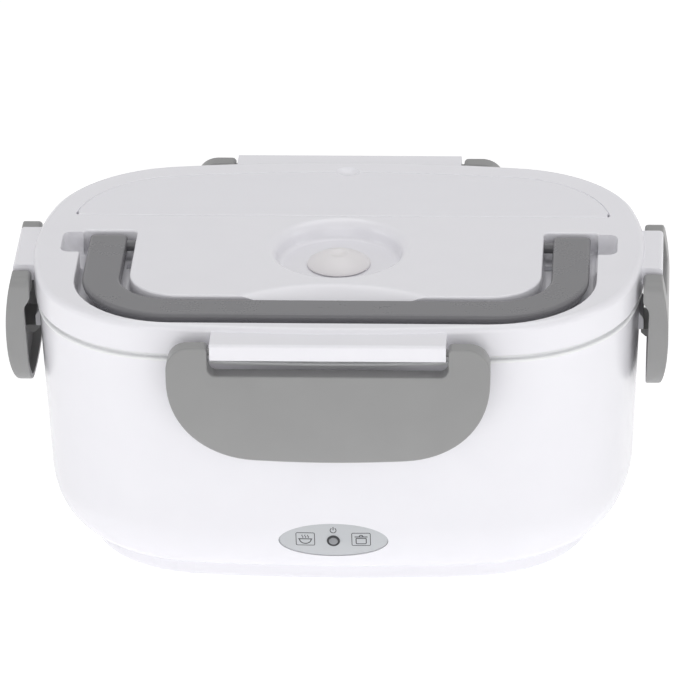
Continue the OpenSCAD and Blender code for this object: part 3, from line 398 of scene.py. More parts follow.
front_tilt = math.atan((front_wall(0, OVAL_Z - OVAL[1]) - front_wall(0, OVAL_Z + OVAL[1])) / (2 * OVAL[1]))


def on_front(x, up, out):
    """Point on the oval's area: up along the wall, out from it."""
    z = OVAL_Z + up * math.cos(front_tilt)
    return (x, front_wall(x, z) - out * math.cos(front_tilt), z - out * math.sin(front_tilt))


def oval_slab(name, grow, profile, steps=96):
    """Oval that follows the wall; the profile is (distance in from the edge, height off the wall)."""
    rings = []
    for inset, out in profile:
        a, b = OVAL[0] + grow - inset, OVAL[1] + grow - inset
        rings.append([on_front(a * math.cos(t), b * math.sin(t), out)
                      for t in np.linspace(0, 2 * math.pi, steps, endpoint=False)])
    return loft(name, rings)


def discs(edge, out, inner=0.0, rows=9):
    """Profile points that cover the oval from its edge to near its middle."""
    last = OVAL[1] - 0.15 - inner
    return [(edge + (last - edge) * i / rows, out) for i in range(1, rows + 1)]


seat_floor = list(reversed(discs(0.0, -PLATE_SUNK)))
seat = oval_slab("seat", 0.15, seat_floor + [(0, -PLATE_SUNK), (0, 0.0), (-0.12, 0.35), (-0.12, 3.0)]
                 + discs(-0.12, 3.0))
combine(body_shell, [seat])
finish_piece(body_shell, "base", white, "white_shell", "body_shell")

plate_edge = [(0, -PLATE_SUNK + 0.02), (0, -0.45), (0.06, -0.32), (0.2, -0.26), (0.5, -0.25), (1.3, -0.25)]
silver = plastic("satin silver paint", (0.54, 0.555, 0.575), (0.57, 0.585, 0.605), (0.4, 0.5), 0.06,
                 scale=2500.0, Specular_IOR_Level=0.15)
plate_back = list(reversed(discs(0, -PLATE_SUNK + 0.02)))
plate = oval_slab("oval_plate", 0, plate_back + plate_edge + discs(1.3, -0.25))
finish_piece(plate, "base", silver, "silver_trim", "control_plate")

LENS_R = 1.62
RING_R = 2.32


def front_turned(name, profile, steps=48):
    """Turned shape on the oval's middle axis, profile (radius, height off the wall)."""
    rings = []
    middle = Vector(on_front(0, 0, 0))
    up = Vector((0, -math.sin(front_tilt), math.cos(front_tilt)))
    out = Vector((0, -math.cos(front_tilt), -math.sin(front_tilt)))
    for r, h in profile:
        rings.append([middle + Vector((r * math.cos(t), 0, 0)) + up * r * math.sin(t) + out * h
                      for t in np.linspace(0, 2 * math.pi, steps, endpoint=False)])
    return loft(name, [np.array([list(p) for p in r]) for r in rings])


print_ink = plastic("dark print", (0.03, 0.032, 0.036), (0.045, 0.047, 0.05), (0.45, 0.6), 0.0)
lens_plastic = plastic("grey lens", (0.34, 0.35, 0.37), (0.42, 0.43, 0.45), (0.12, 0.2), 0.02, IOR=1.5,
                       Transmission_Weight=0.25)


def stroke(line, wide, joined=False):
    """Ribbon of print along a line of (x, up) points on the oval plate."""
    line = np.array(line, float)
    ends = np.roll(line, -1, 0) if joined else line[1:]
    fine = [a + (b - a) * i / n for a, b in zip(line, ends)
            for n in [max(1, round(np.linalg.norm(b - a) / 0.6))]
            for i in range(n)]
    line = np.array(fine if joined else fine + [line[-1]])
    ahead = np.roll(line, -1, 0) - line
    if not joined:
        ahead[-1] = ahead[-2]
    ahead /= np.linalg.norm(ahead, axis=1)[:, None]
    behind = np.roll(ahead, 1, 0)
    if not joined:
        behind[0] = ahead[0]
    side = np.column_stack([-(ahead + behind)[:, 1], (ahead + behind)[:, 0]])
    side *= (wide / (1 + (ahead * behind).sum(1)))[:, None] / 2
    rings = [[on_front(*p, out)
              for p, out in ((l - n, -0.33), (l - n, -0.22), (l + n, -0.22), (l + n, -0.33))]
             for l, n in zip(line, side)]
    return loft("front_print", [np.array(r) for r in rings], closed=joined)


def bow(x, y, r, a, b, steps=20, tall=1.0):
    """Points of an arc."""
    return [(x + r * math.cos(t), y + tall * r * math.sin(t)) for t in np.radians(np.linspace(a, b, steps))]


marks = []
for x in (-10.0, 9.9):
    outline = ring(corners([(x - 3.3, -2.2, 0.5), (x + 3.3, -2.2, 0.5), (x + 3.3, 3.4, 0.5),
                            (x - 3.3, 3.4, 0.5)], 4))
    marks.append(stroke(outline, 0.26, True))
marks.append(stroke(bow(-10, 0.7, 2.1, 180, 360), 0.36))
marks.append(stroke([(-12.5, 0.7), (-7.5, 0.7)], 0.36))
for x in (-11, -10, -9):
    marks.append(stroke([(x + 0.22 * math.sin(t * 2), 1.2 + 0.42 * t)
                         for t in np.linspace(0, 3.1, 12)], 0.24))
pot = corners([(8.1, -1.4, 0.5), (11.7, -1.4, 0.5), (11.7, 1.1, 0.2), (8.1, 1.1, 0.2)], 4)
marks.append(stroke(ring(pot), 0.34, True))
marks.append(stroke([(7.6, 1.75), (12.2, 1.75)], 0.36))
marks.append(stroke(bow(9.9, 1.8, 0.7, 0, 180, 10), 0.3))
marks.append(stroke(bow(0, 4.55, 1.05, 125, 415, 30), 0.28))
marks.append(stroke([(0, 4.6), (0, 6.0)], 0.28))
for mark in marks:
    finish_piece(mark, "base", print_ink, "black_plastic")
combine(plate, [front_turned("hole", [(RING_R + 0.02, -3.0), (RING_R + 0.02, 2.0)])])
bezel = front_turned("lens_ring", [(RING_R, -1.2), (RING_R, 0.02), (RING_R - 0.12, 0.14),
                                   (LENS_R + 0.1, 0.14),
                                   (LENS_R, 0.05), (LENS_R, -0.8)])
finish_piece(bezel, "base", print_ink, "black_plastic")
dome = [(LENS_R - 0.02, -4.0), (LENS_R - 0.02, 0.0)] + [
    (max((LENS_R - 0.02) * math.cos(t), 0.02), 0.38 * math.sin(t))
    for t in np.linspace(0.15, math.pi / 2, 8)]
finish_piece(front_turned("lamp_window", dome), "base", lens_plastic, "lens_plastic", "indicator_lens")

# --- Base -------------------------------------------------------------------------------
# A screwed-on white floor with slots under the heater, four screws and four rubber feet.
# These pieces keep the assembly's own shapes and take their finish here.

steel = plastic("drawn steel", (0.5, 0.5, 0.51), (0.58, 0.58, 0.59), (0.22, 0.34), 0.05, 400, 40,
                Metallic=1.0)
rubber = plastic("grey rubber", (0.09, 0.09, 0.095), (0.12, 0.12, 0.125), (0.62, 0.78), 0.25, 2500)


def use_node(node, material, edge=0.0):
    """Gives a piece of the assembly its finish; a small bevel takes the knife edge off."""
    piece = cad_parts[node]
    piece.data.materials.clear()
    piece.data.materials.append(material)
    if edge:
        bevel = piece.modifiers.new("soft edges", "BEVEL")
        bevel.width = edge * MM
        bevel.segments = 2
        bevel.limit_method = "ANGLE"
        bevel.angle_limit = math.radians(50)
        bevel.harden_normals = True
    return piece


use_node("base_cover", white)
use_node("base_screws", steel, 0.15)
use_node("feet", rubber, 0.4)
use_node("inlet_pins", pin_brass, 0.3)

# --- Inner tub --------------------------------------------------------------------------
# One moulding that closes the body's top with a flange, steps in at a ledge for the food
# container and carries the heating plate on its floor.

RIM_TOP = BODY_TOP + 2.2
LEDGE_Z = 80.0
TUB_FLOOR = 27.0

satin_white = plastic("satin white plastic", (0.84, 0.845, 0.85), (0.87, 0.875, 0.88), (0.34, 0.46), 0.06)
lid_outline = four_sides(*LID_HALF, *SIDE_R, CORNER_R)


def inward(points, steps=6):
    """Rounded profile given as (distance in from the lid's outline, height, radius)."""
    return [(-d, z) for d, z in bend_path(points, steps)]


tub = moulding("tub_moulding", lid_outline, inward([
    (9.3, TUB_FLOOR - 2, 0), (9.3, LEDGE_Z - 2, 0), (4.6, LEDGE_Z - 2, 0), (4.6, BODY_TOP, 0),
    (0.5, BODY_TOP, 0.3), (0.5, BODY_TOP + 1.2, 0.6), (2.3, BODY_TOP + 1.2, 0.5), (2.3, RIM_TOP, 0.4),
    (6.4, RIM_TOP, 0.8), (6.4, LEDGE_Z, 1.2), (11.1, LEDGE_Z, 0.8), (11.1, TUB_FLOOR, 3),
    (16, TUB_FLOOR, 0)]))
plate_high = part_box("heating_plate")[1] / MM
plate_half = (plate_high.x, plate_high.y)


def round_block(half_x, half_y, r, profile):
    """Solid over a rounded rectangle; the profile is (distance out, height)."""
    box = corners([(-half_x, -half_y, r), (half_x, -half_y, r), (half_x, half_y, r), (-half_x, half_y, r)])
    return moulding("block", box, profile)


combine(tub, [round_block(plate_half[0] - 6, plate_half[1] - 6, plate_half[1] - 7, [(0, 20), (0, 30)])])
finish_piece(tub, "base", satin_white, "white_inner", "inner_tub")

# --- Heating plate and heater -----------------------------------------------------------
# A cast aluminium plate on a silicone gasket, and under it the heater block, its cut-out,
# clamp, screws, wires and the small lamp board behind the front plate.

silicone = plastic("grey silicone", (0.5, 0.5, 0.51), (0.56, 0.56, 0.57), (0.5, 0.62), 0.05,
                   Subsurface_Weight=0.1)
aluminium = plastic("cast aluminium", (0.6, 0.605, 0.61), (0.7, 0.705, 0.71), (0.28, 0.42), 0.2, 1800, 90,
                    Metallic=1.0)
phenolic = plastic("brown phenolic", (0.19, 0.085, 0.04), (0.25, 0.12, 0.06), (0.4, 0.55), 0.1)
sleeve = plastic("red wire sleeve", (0.32, 0.02, 0.018), (0.4, 0.035, 0.03), (0.4, 0.52), 0.05)
board = plastic("green circuit board", (0.01, 0.12, 0.05), (0.02, 0.16, 0.07), (0.3, 0.45), 0.1)
use_node("plate_gasket", silicone)
use_node("heating_plate", aluminium, 0.5)
use_node("ptc_heater", aluminium, 0.3)
use_node("thermal_cutoff", phenolic, 0.3)
use_node("heater_clamp", steel, 0.3)
use_node("clamp_screws", steel, 0.15)
use_node("wire_harness", sleeve)
use_node("led_board", board)

# --- Food container ---------------------------------------------------------------------
# A drafted box with two compartments that hangs from the tub's ledge by its rim.

DIVIDER_X = 25.0
FOOD_WALL = 1.5
FOOD_DRAFT = 1.6
FOOD_ROUND = 8.0
CONTAINER_IN = 12.1
CONTAINER_Z = (29.3, LEDGE_Z + 0.3)
RIM_IN = 8.9

food_white = plastic("container plastic", (0.8, 0.815, 0.805), (0.84, 0.85, 0.84), (0.22, 0.34), 0.04)


def lean(u, height):
    """How far a container's wall has come in, u above its foot."""
    if u >= FOOD_ROUND:
        return FOOD_DRAFT * (height - u) / (height - FOOD_ROUND)
    return FOOD_DRAFT + FOOD_ROUND * (1 - math.sqrt(1 - (1 - u / FOOD_ROUND) ** 2))


def wall_steps(z0, z1, extra=0.0):
    """Profile of a drafted wall with a round foot, as (distance in, height)."""
    ups = [FOOD_ROUND * (1 - math.cos(math.pi / 2 * i / 8)) for i in range(9)] + [z1 - z0]
    return [(extra + lean(u, z1 - z0), z0 + u) for u in ups]


def half_outline(side, inset, divide):
    """Outline of the container's inside to the left (-1) or right of a divider, with 6 mm corners."""
    r = 6.0
    edge = -side * (DIVIDER_X + side * divide) - r
    a, b, ra, rb, rc = (v - inset for v in (*LID_HALF, *SIDE_R, CORNER_R))
    arcs = four_sides(a, b, ra, rb, rc)
    turn = math.degrees(math.acos(edge / (ra - r)))
    y = b - ra + math.sqrt((ra - r) ** 2 - edge ** 2)
    back, front = arcs[2], arcs[6]
    part = [(edge, y, r, 0, turn, 8), (*back[:3], turn, back[4], 24), arcs[3], arcs[4], arcs[5],
            (*front[:3], front[3], 360 - turn, 24), (edge, -y, r, -turn, 0, 8)]
    points = ring(part)
    return points if side < 0 else points[::-1] * (-1, 1)


def compartment(name, side, profile):
    """Solid that fills a compartment, its profile (distance in, height)."""
    return loft(name, [at_height(half_outline(side, CONTAINER_IN + FOOD_WALL + d, FOOD_WALL / 2 + d), z)
                       for d, z in profile])


low, rim = CONTAINER_Z
box_profile = [(-CONTAINER_IN - d, z) for d, z in wall_steps(low, rim)]
box_profile += [(-d, z) for d, z in bend_path([
    (CONTAINER_IN, rim, 0), (RIM_IN, rim, 0.4), (RIM_IN, rim + 1.5, 0.7), (14, rim + 1.5, 0)])]
container = moulding("container", lid_outline, box_profile)
hollows = []
for side in (-1, 1):
    hollow = wall_steps(low + FOOD_WALL, rim + 0.9) + [
        (-0.06, rim + 1.1), (-0.25, rim + 1.35), (-0.6, rim + 1.5), (-0.6, rim + 3)]
    hollows.append(compartment("hollow", side, hollow))
combine(container, hollows)
finish_piece(container, "base", food_white, "container_plastic", "food_container")

# --- Side box ---------------------------------------------------------------------------
# A small loose box with its own lid that stands in the container's right compartment.

SIDE_RIM = CONTAINER_Z[1] + 1.8
SIDE_Z = (SIDE_RIM - 40.0, SIDE_RIM)

box_lid_grey = plastic("box lid plastic", (0.56, 0.57, 0.58), (0.61, 0.62, 0.63), (0.36, 0.48), 0.06)
low, rim = SIDE_Z
side_profile = wall_steps(low, rim, 0.8) + bend_path([
    (0.8, rim, 0), (-1.2, rim, 0.3), (-1.2, rim + 1.2, 0.5), (1.2, rim + 1.2, 0)])
side_box = compartment("small_box", 1, side_profile)
hollow = wall_steps(low + FOOD_WALL, rim + 0.8, 0.8 + FOOD_WALL) + [(2.1, rim + 1.2), (2.1, rim + 3)]
combine(side_box, [compartment("hollow", 1, hollow)])
finish_piece(side_box, "base", food_white, "container_plastic", "side_box")
z = rim + 1.2
box_lid = compartment("small_box_lid", 1, bend_path([
    (4.05, z, 0), (4.05, z - 2.4, 0.3), (2.55, z - 2.4, 0.5), (2.55, z, 0), (-1.2, z, 0.2),
    (-1.2, z + 1.6, 0.6), (2.4, z + 1.6, 0.4), (3, z + 0.9, 0.4), (6, z + 0.9, 0)]))
finish_piece(box_lid, "base", box_lid_grey, "box_lid_plastic", "side_box_lid")

# --- Lid shell --------------------------------------------------------------------------
# The white lid: a shell with a rolled upper edge, ledges for the latches on its sides, and
# in its top the handle's groove, finger hollows, the steam cap's dish and the spoon's well.

LID_Z = (BODY_TOP + 3.0, 107.0)
LID_WALL = 2.2
WELL_WALL = 1.6
GROOVE_Z = 98.4
PIVOT = (5.0, 103.3)
HANDLE_HALF = (90.4, 59.6)
HANDLE_W = 13.5
PANEL_HALF = 73.5
PANEL_FRONT = 44.5
DISH = (-3.5, 25.0, LID_Z[1] - 6.7)
COVER_FRONT = 23.4
COVER_IN = 10.0
COVER_T = 2.1
WELL_Z = LID_Z[1] - 8.4
AXIS_Z = LID_Z[1] - 5.5
AXIS_OUT = (113.4, 79.0)
HOLLOW_X = 91.5
HINGE_X = 99.0
LEDGES = ((0, 1, 41.4), (180, 1, 41.4), (90, 0, 16.1), (-90, 0, 16.1))
top = LID_Z[1]


def quarter_lip(r, z, steps=5):
    """Profile of a pocket's rolled lip of radius r under height z, closed off above it."""
    turn = [math.pi / 2 * i / steps for i in range(steps + 1)]
    return [(r * (1 - math.cos(t)), z - r + r * math.sin(t)) for t in turn] + [(r, z + 3)]


def pocket(name, arcs, floor, lip, foot):
    """Cutter for a pocket with a rolled lip and a rounded foot."""
    turn = [math.pi / 2 * i / 5 for i in range(6)]
    round_foot = [(-foot * (1 - math.sin(t)), floor + foot * (1 - math.cos(t))) for t in turn]
    return moulding(name, arcs, round_foot + quarter_lip(lip, top))


def clip_back(arcs, line, r):
    """The part of an outline behind y = line, its two front corners rounded."""
    for i in (0, 1):
        x, y, radius, a, b, steps = arcs[i]
        turn = math.degrees(math.asin((line + r - y) / (radius - r)))
        if max(a, 0) <= turn <= b:
            corner = (x + (radius - r) * math.cos(math.radians(turn)), line + r)
            right = [(x, y, radius, turn, b, steps)] + list(arcs[i + 1:2])
            left = [(-q[0], q[1], q[2], 180 - q[4], 180 - q[3], q[5]) for q in reversed(right)]
            return ([(*corner, r, -90, turn, 8)] + right + [arcs[2]] + left
                    + [(-corner[0], corner[1], r, 180 - turn, 270, 8)])
    raise ValueError("the line misses the outline")


def rod(name, r, x0, x1, y, z, steps=32):
    """Round bar along X."""
    turn = np.linspace(0, 2 * math.pi, steps, endpoint=False)
    return along_x(name, x0, x1, [(y + r * math.cos(t), z + r * math.sin(t)) for t in turn])


def lathe(name, profile, x, y, steps=96):
    """Turned solid about an upright axis, from (radius, height)."""
    turn = np.linspace(0, 2 * math.pi, steps, endpoint=False)
    return loft(name, [
        np.column_stack([x + r * np.cos(turn), y + r * np.sin(turn), np.full(steps, float(z))])
        for r, z in profile])


def block(name, low, high):
    """Box between two corners."""
    (x0, y0, z0), (x1, y1, z1) = low, high
    return loft(name, [[(x0, y0, z), (x1, y0, z), (x1, y1, z), (x0, y1, z)] for z in (z0, z1)])


edge_turn = [math.pi / 2 * i / 8 for i in range(9)]
lid_profile = [(-0.5, LID_Z[0]), (-0.15, LID_Z[0] + 0.15), (0, LID_Z[0] + 0.5)]
lid_profile += [(-2.5 * (1 - math.cos(t)), top - 2.5 * (1 - math.sin(t))) for t in edge_turn]
lid_shell = moulding("lid_moulding", lid_outline, lid_profile)
ledges = []
for turn, reach, half in LEDGES:
    axis = AXIS_OUT[reach]
    bar = along_x("ledge", -half, half, bend_path([
        (axis - 12, AXIS_Z - 2.3, 0), (axis + 3, AXIS_Z - 2.3, 0.6), (axis + 3, AXIS_Z + 3.8, 1.4),
        (axis - 12, AXIS_Z + 3.8, 0)]))
    combine(bar, [rod("pin hole", 1.36, s * half - 5, s * half + 5, axis, AXIS_Z) for s in (-1, 1)])
    ledges.append(turned(bar, turn))
combine(lid_shell, ledges, "UNION")
combine(lid_shell, [moulding("inside", lid_outline, [(-LID_WALL, 90), (-LID_WALL, top - LID_WALL)])])

gx, gy = HANDLE_HALF[0] + 2.6, HANDLE_HALF[1] + 6.7
groove = corners([(-gx, -gy, 37), (gx, -gy, 37), (gx, 10.2, 2), (PANEL_HALF, 10.2, 2),
                  (PANEL_HALF, -PANEL_FRONT, 19), (-PANEL_HALF, -PANEL_FRONT, 19),
                  (-PANEL_HALF, 10.2, 2), (-gx, 10.2, 2)], 14)
cover_arcs = clip_back([(x, y, r - COVER_IN, a, b, n) for x, y, r, a, b, n in lid_outline], COVER_FRONT, 2)
well_arcs = clip_back([(x, y, r - COVER_IN - 4, a, b, n) for x, y, r, a, b, n in lid_outline],
                      COVER_FRONT + 6, 5)
shelf = COVER_FRONT, top - COVER_T - 0.3


def hollow_end(name, x, grow):
    """Finger hollow beside an arm of the handle, round in section with soft ends."""
    rings = []
    for i in range(1, 25):
        down = (8.4 + grow) * math.cos(math.pi / 2 * i / 24 * 0.985)
        half_x = math.sqrt((8.4 + grow) ** 2 - down ** 2)
        if down < 0.7 and not grow:
            half_x += 0.7 - math.sqrt(0.49 - (0.7 - down) ** 2)
        half_y = 8.5 + grow - 3 + 3 * math.sqrt(1 - (down / (8.41 + grow)) ** 2)
        r = min(3.4, half_x * 0.9)
        rings.append(at_height(ring(corners([
            (x - half_x, -half_y, r), (x + half_x, -half_y, r),
            (x + half_x, half_y, r), (x - half_x, half_y, r)], 6)), top - down))
    if not grow:
        rings.append(rings[-1] + (0, 0, 3))
    return loft(name, rings)


def scoop(name, grow):
    """Shallow round hollow in the panel's front edge, its rim fading out."""
    centre = Vector((0, -93.95, 191.9))
    radius = 103.6 + grow
    xs, ys = np.linspace(-44, 44, 67), np.linspace(-PANEL_FRONT - 1.2, -28, 21)
    rings = []
    for y in ys:
        reach = radius ** 2 - (y - centre.y) ** 2 - xs ** 2
        deep = top - (centre.z - np.sqrt(reach))
        deep = (deep + np.sqrt(deep ** 2 + 0.3)) / 2 - 0.035
        low = np.column_stack([xs, np.full(len(xs), y), top - deep])
        high = np.column_stack([xs[::-1], np.full(len(xs), y),
                                np.full(len(xs), top + (0.2 if not grow else -1.2))])
        rings.append(np.vstack([low, high]))
    return loft(name, rings)


def slab_over(arcs, grow, low):
    """Block over an outline, from a height up to just under the lid's top."""
    return moulding("wall", arcs, [(grow, low), (grow, top - 1)])


walls = [slab_over(groove, WELL_WALL, GROOVE_Z - WELL_WALL),
         slab_over(well_arcs, WELL_WALL, WELL_Z - WELL_WALL),
         slab_over(cover_arcs, 0.35 + WELL_WALL, shelf[1] - WELL_WALL),
         lathe("wall", [(DISH[1] - 1.4, DISH[2] - WELL_WALL), (DISH[1] + 2, top - 3),
                        (DISH[1] + 2, top - 1)], 0, DISH[0])]
for s in (-1, 1):
    walls.append(block("wall", (s * HOLLOW_X - 10, -10, GROOVE_Z - WELL_WALL),
                       (s * HOLLOW_X + 10, 10, top - 1)))
    walls.append(block("wall", (s * HINGE_X - 5, COVER_FRONT - 2, 103.5),
                       (s * HINGE_X + 3.5, COVER_FRONT + 5, top - 1)))
walls.append(block("wall", (-42, -PANEL_FRONT, top - 8), (42, -33, top - 1)))
combine(lid_shell, walls, "UNION")
turn = [math.pi / 2 * i / 6 for i in range(7)]
dish = [(DISH[1] - 5 + 2 * math.sin(t), DISH[2] + 2 * (1 - math.cos(t))) for t in turn]
dish += [(DISH[1] + 1.6 - 4.3 * math.cos(t), top - 4.2 + 4.2 * math.sin(t)) for t in turn]
pockets = [
    pocket("groove", groove, GROOVE_Z, 0.8, 1.6),
    pocket("cover seat", cover_arcs, shelf[1], 0.35, 0.05),
    moulding("well", well_arcs, [(-2, WELL_Z), (-0.6, WELL_Z + 0.6), (0, WELL_Z + 2), (0, shelf[1] - 0.5),
                                 (0.15, shelf[1] - 0.15), (0.5, shelf[1]), (0.5, top + 3)]),
    lathe("dish", [(0.01, DISH[2])] + dish + [(DISH[1] + 1.6, top + 3), (0.01, top + 3)], 0, DISH[0], 128),
    lathe("cap hole", [(3.06, 90), (3.06, top)], 0, DISH[0], 32),
    hollow_end("notch", -HOLLOW_X, 0), hollow_end("notch", HOLLOW_X, 0), scoop("scoop", 0),
]
for s in (-1, 1):
    x = s * (PANEL_HALF + 1.7)
    pockets.append(block("slot", (x - 1.4, -5.4, GROOVE_Z - 5), (x + 1.4, -0.4, GROOVE_Z + 1)))
    pockets.append(rod("pivot hole", 2.06, s * 71.1 - 3.7, s * 71.1 + 3.7, *PIVOT))
    pockets.append(rod("hinge hole", 0.76, s * HINGE_X - 3.3, s * HINGE_X + 3.3, COVER_FRONT + COVER_T / 2,
                       top - COVER_T / 2, 24))


def thumb_notch():
    """Half ball for lifting the spoon's cover."""
    turn = [math.pi * i / 24 for i in range(1, 24)]
    return lathe("thumb notch", [(6.5 * math.sin(t), top + 4.8 - 6.5 * math.cos(t)) for t in turn], 0,
                 LID_HALF[1] - COVER_IN, 48)


combine(lid_shell, pockets + [thumb_notch()])
finish_piece(lid_shell, "lid", white, "white_shell", "lid_shell")

# --- Lid liner and seal -----------------------------------------------------------------
# The closed inner lid that plugs the tub, and the two-lipped silicone seal in its channel.

SEAL_Z = (90.5, 93.5)
liner = moulding("liner_moulding", lid_outline, inward([
    (20, 96.7, 0), (2.3, 96.7, 0.5), (2.3, 95.1, 0.3), (8.0, 95.1, 0.6), (8.0, SEAL_Z[1], 0.3),
    (9.0, SEAL_Z[1], 0), (9.0, SEAL_Z[0], 0), (8.0, SEAL_Z[0], 0.3), (8.0, 87.5, 1.8), (13, 87.5, 1.0),
    (13.8, 88.1, 1.0), (22, 88.1, 0)]))
combine(liner, [moulding("inside", lid_outline, [(-10.6, 89.8), (-10.6, 95.1)]),
                lathe("hole", [(4.5, 80), (4.5, 100)], 0, DISH[0], 48)])
finish_piece(liner, "lid", satin_white, "white_inner", "lid_liner")
seal_middle = sum(SEAL_Z) / 2
seal_profile = [(-d, seal_middle + h) for d, h in (
    (8.9, -1.4), (7.9, -1.4), (7.3, -1.3), (6.85, -1.0), (6.7, -0.75), (6.85, -0.55), (7.35, -0.35),
    (7.5, 0), (7.35, 0.35), (6.85, 0.55), (6.7, 0.75), (6.85, 1.0), (7.3, 1.3), (7.9, 1.4), (8.9, 1.4))]
finish_piece(moulding("seal_ring", lid_outline, seal_profile, closed=True), "lid", silicone,
             "seal_silicone", "lid_seal")

# --- Steam cap --------------------------------------------------------------------------
# A soft translucent button in the dish, domed with a thumb dimple and a stem below.

CAP_R = 11.4
CAP_H = 4.6
clear_silicone = plastic("milky silicone", (0.88, 0.855, 0.865), (0.9, 0.875, 0.885), (0.32, 0.44), 0.04,
                         Transmission_Weight=0.06, IOR=1.41)
base = DISH[2] + 0.2
dome_r = (12.0 ** 2 + CAP_H ** 2) / (2 * CAP_H)


def cap_top(r):
    """Height of the cap's top: a dome with a dimple, blended where they meet."""
    dome = base + CAP_H - dome_r + math.sqrt(dome_r ** 2 - r * r)
    dimple = base + CAP_H + 3.6 - math.sqrt(25 - min(r, 4.99) ** 2) if r < 4.99 else dome + 9
    return (dome + dimple - math.sqrt((dome - dimple) ** 2 + 0.04)) / 2


cap_profile = [(0.01, base - 5.0), (2.2, base - 5.0), (2.5, base - 4.7), (2.5, base - 4.0),
               (3.0, base - 3.6), (3.0, base), (CAP_R - 0.4, base), (CAP_R, base + 0.4),
               (CAP_R, cap_top(CAP_R) - 0.3), (CAP_R - 0.1, cap_top(CAP_R) - 0.05)]
cap_profile += [(r, cap_top(r)) for r in np.linspace(CAP_R - 0.35, 0.02, 30)]
finish_piece(lathe("steam_button", cap_profile, 0, DISH[0]), "steam_cap", clear_silicone,
             "clear_silicone", "vent_cap")

# --- Spoon cover ------------------------------------------------------------------------
# A frosted flap over the well that turns on two small pins along its straight front edge.

frosted = plastic("frosted plastic", (0.9, 0.893, 0.935), (0.92, 0.913, 0.955), (0.34, 0.44), 0.05,
                  IOR=1.49, Transmission_Weight=0.06)
hinge = (COVER_FRONT + COVER_T / 2, top - COVER_T / 2)
cover = moulding("well_flap", cover_arcs, [(-0.2, top - COVER_T), (0, top - COVER_T + 0.2), (0, top - 0.6),
                                          (-0.08, top - 0.3), (-0.3, top - 0.08), (-0.6, top)])
combine(cover, [block("front", (-120, 0, 90), (120, hinge[0], 120)), thumb_notch()]
        + [block("corner", (s * 106 - 10, 0, 90), (s * 106 + 10, hinge[0] + COVER_T, 120))
           for s in (-1, 1)])
combine(cover, [rod("knuckle", COVER_T / 2, -96, 96, *hinge)]
        + [rod("pin", 0.7, s * 96.5 - 2.6, s * 96.5 + 2.6, *hinge, 20) for s in (-1, 1)], "UNION")
finish_piece(cover, "well_cover", frosted, "frosted_cover", "spoon_cover")

# --- Spoon ------------------------------------------------------------------------------
# A pressed steel spoon lying in the well, its bowl to the left.

SPOON_Y = 42.95
BOWL_X = -51.8
GRIP_X = 69.0
spoon_z = WELL_Z + 0.2


def spoon_half(x):
    """Half width along the spoon: bowl, neck and round grip."""
    bowl = 12 * math.sqrt(max(1 - ((x - BOWL_X) / 16.2) ** 2, 0))
    grip = 4.5 + 1.5 * max(0, min(1, (x - 55) / 12)) ** 2 * (3 - 2 * max(0, min(1, (x - 55) / 12)))
    if x > GRIP_X:
        grip = math.sqrt(max(36 - (x - GRIP_X) ** 2, 0))
    if x < BOWL_X:
        return bowl
    neck = max(0, min(1, (x - BOWL_X - 8) / 14))
    return max(bowl, grip * neck ** 0.6 if neck < 1 else grip)


rings = []
stations = BOWL_X - 16.2 * np.cos(np.linspace(0.05, math.pi / 2, 18))
stations = np.concatenate([stations, np.linspace(BOWL_X + 1, 60, 70),
                           60 + 15 * np.sin(np.linspace(0.06, 1.5, 18))])
for x in stations:
    ys = spoon_half(x) * np.sin(np.linspace(-math.pi / 2, math.pi / 2, 15))
    bowl = 24 - np.sqrt(576 - np.minimum((x - BOWL_X) ** 2 + ys ** 2, 400))
    low = 0.1 + (bowl + 4.2 - np.sqrt((bowl - 4.2) ** 2 + 0.6)) / 2
    low = np.maximum(low, 0)
    under = np.column_stack([np.full(15, x), SPOON_Y + ys, spoon_z + low])
    over = under[::-1] + (0, 0, 1.1)
    over[[0, -1], 2] -= 0.45
    under[[0, -1], 2] += 0.25
    rings.append(np.vstack([under, over]))
finish_piece(loft("pressed_spoon", rings), "lid", steel, "spoon_steel", "spoon")

# --- Handle -----------------------------------------------------------------------------
# The grey carrying handle, a flat-topped bar swept round a U that folds into the groove.

handle_grey = plastic("mauve grey plastic", (0.185, 0.183, 0.193), (0.2, 0.198, 0.208), (0.24, 0.32), 0.02,
                      1200, Specular_IOR_Level=0.3)
half_w, half_t = HANDLE_W / 2, 3.3
section = ring(corners([(-half_w, -half_t, 1.5), (3.629, -half_t, 2.4), (half_w, 1.343, 1.5),
                        (half_w, half_t, 1.5), (-half_w, half_t, 1.5)], 6))
mid_x, mid_y, bend_r = HANDLE_HALF[0] - half_w, HANDLE_HALF[1] - half_w, 33 - half_w
arm_end = PIVOT[0] + 1.2
path = []
for t in np.linspace(0.05, math.pi / 2, 10):
    y = arm_end + half_t * math.cos(t)
    narrow = 2 - math.sqrt(max(4 - max(y - (arm_end + half_t - 2), 0) ** 2, 0))
    path.append((mid_x, y, 0, math.sin(t), (half_w - narrow * 0.85) / half_w))
path += [(mid_x, y, 0, 1, 1) for y in np.linspace(arm_end - 1, bend_r - mid_y, 14)]
path += [(mid_x - bend_r + bend_r * math.cos(t), bend_r - mid_y - bend_r * math.sin(t), t, 1, 1)
         for t in np.linspace(0, math.pi / 2, 25)[1:]]
path += [(x, -mid_y, math.pi / 2, 1, 1) for x in np.linspace(mid_x - bend_r, 0, 12)[1:]]
path += [(-x, y, math.pi - t, up, wide) for x, y, t, up, wide in reversed(path[:-1])]
rings = []
for x, y, t, up, wide in path:
    outward = np.array([math.cos(t), -math.sin(t)])
    points = np.array([x, y]) + np.outer(section[:, 0] * wide, outward)
    rings.append(np.column_stack([points, PIVOT[1] + section[:, 1] * up]))
handle = loft("carry_bar", rings)
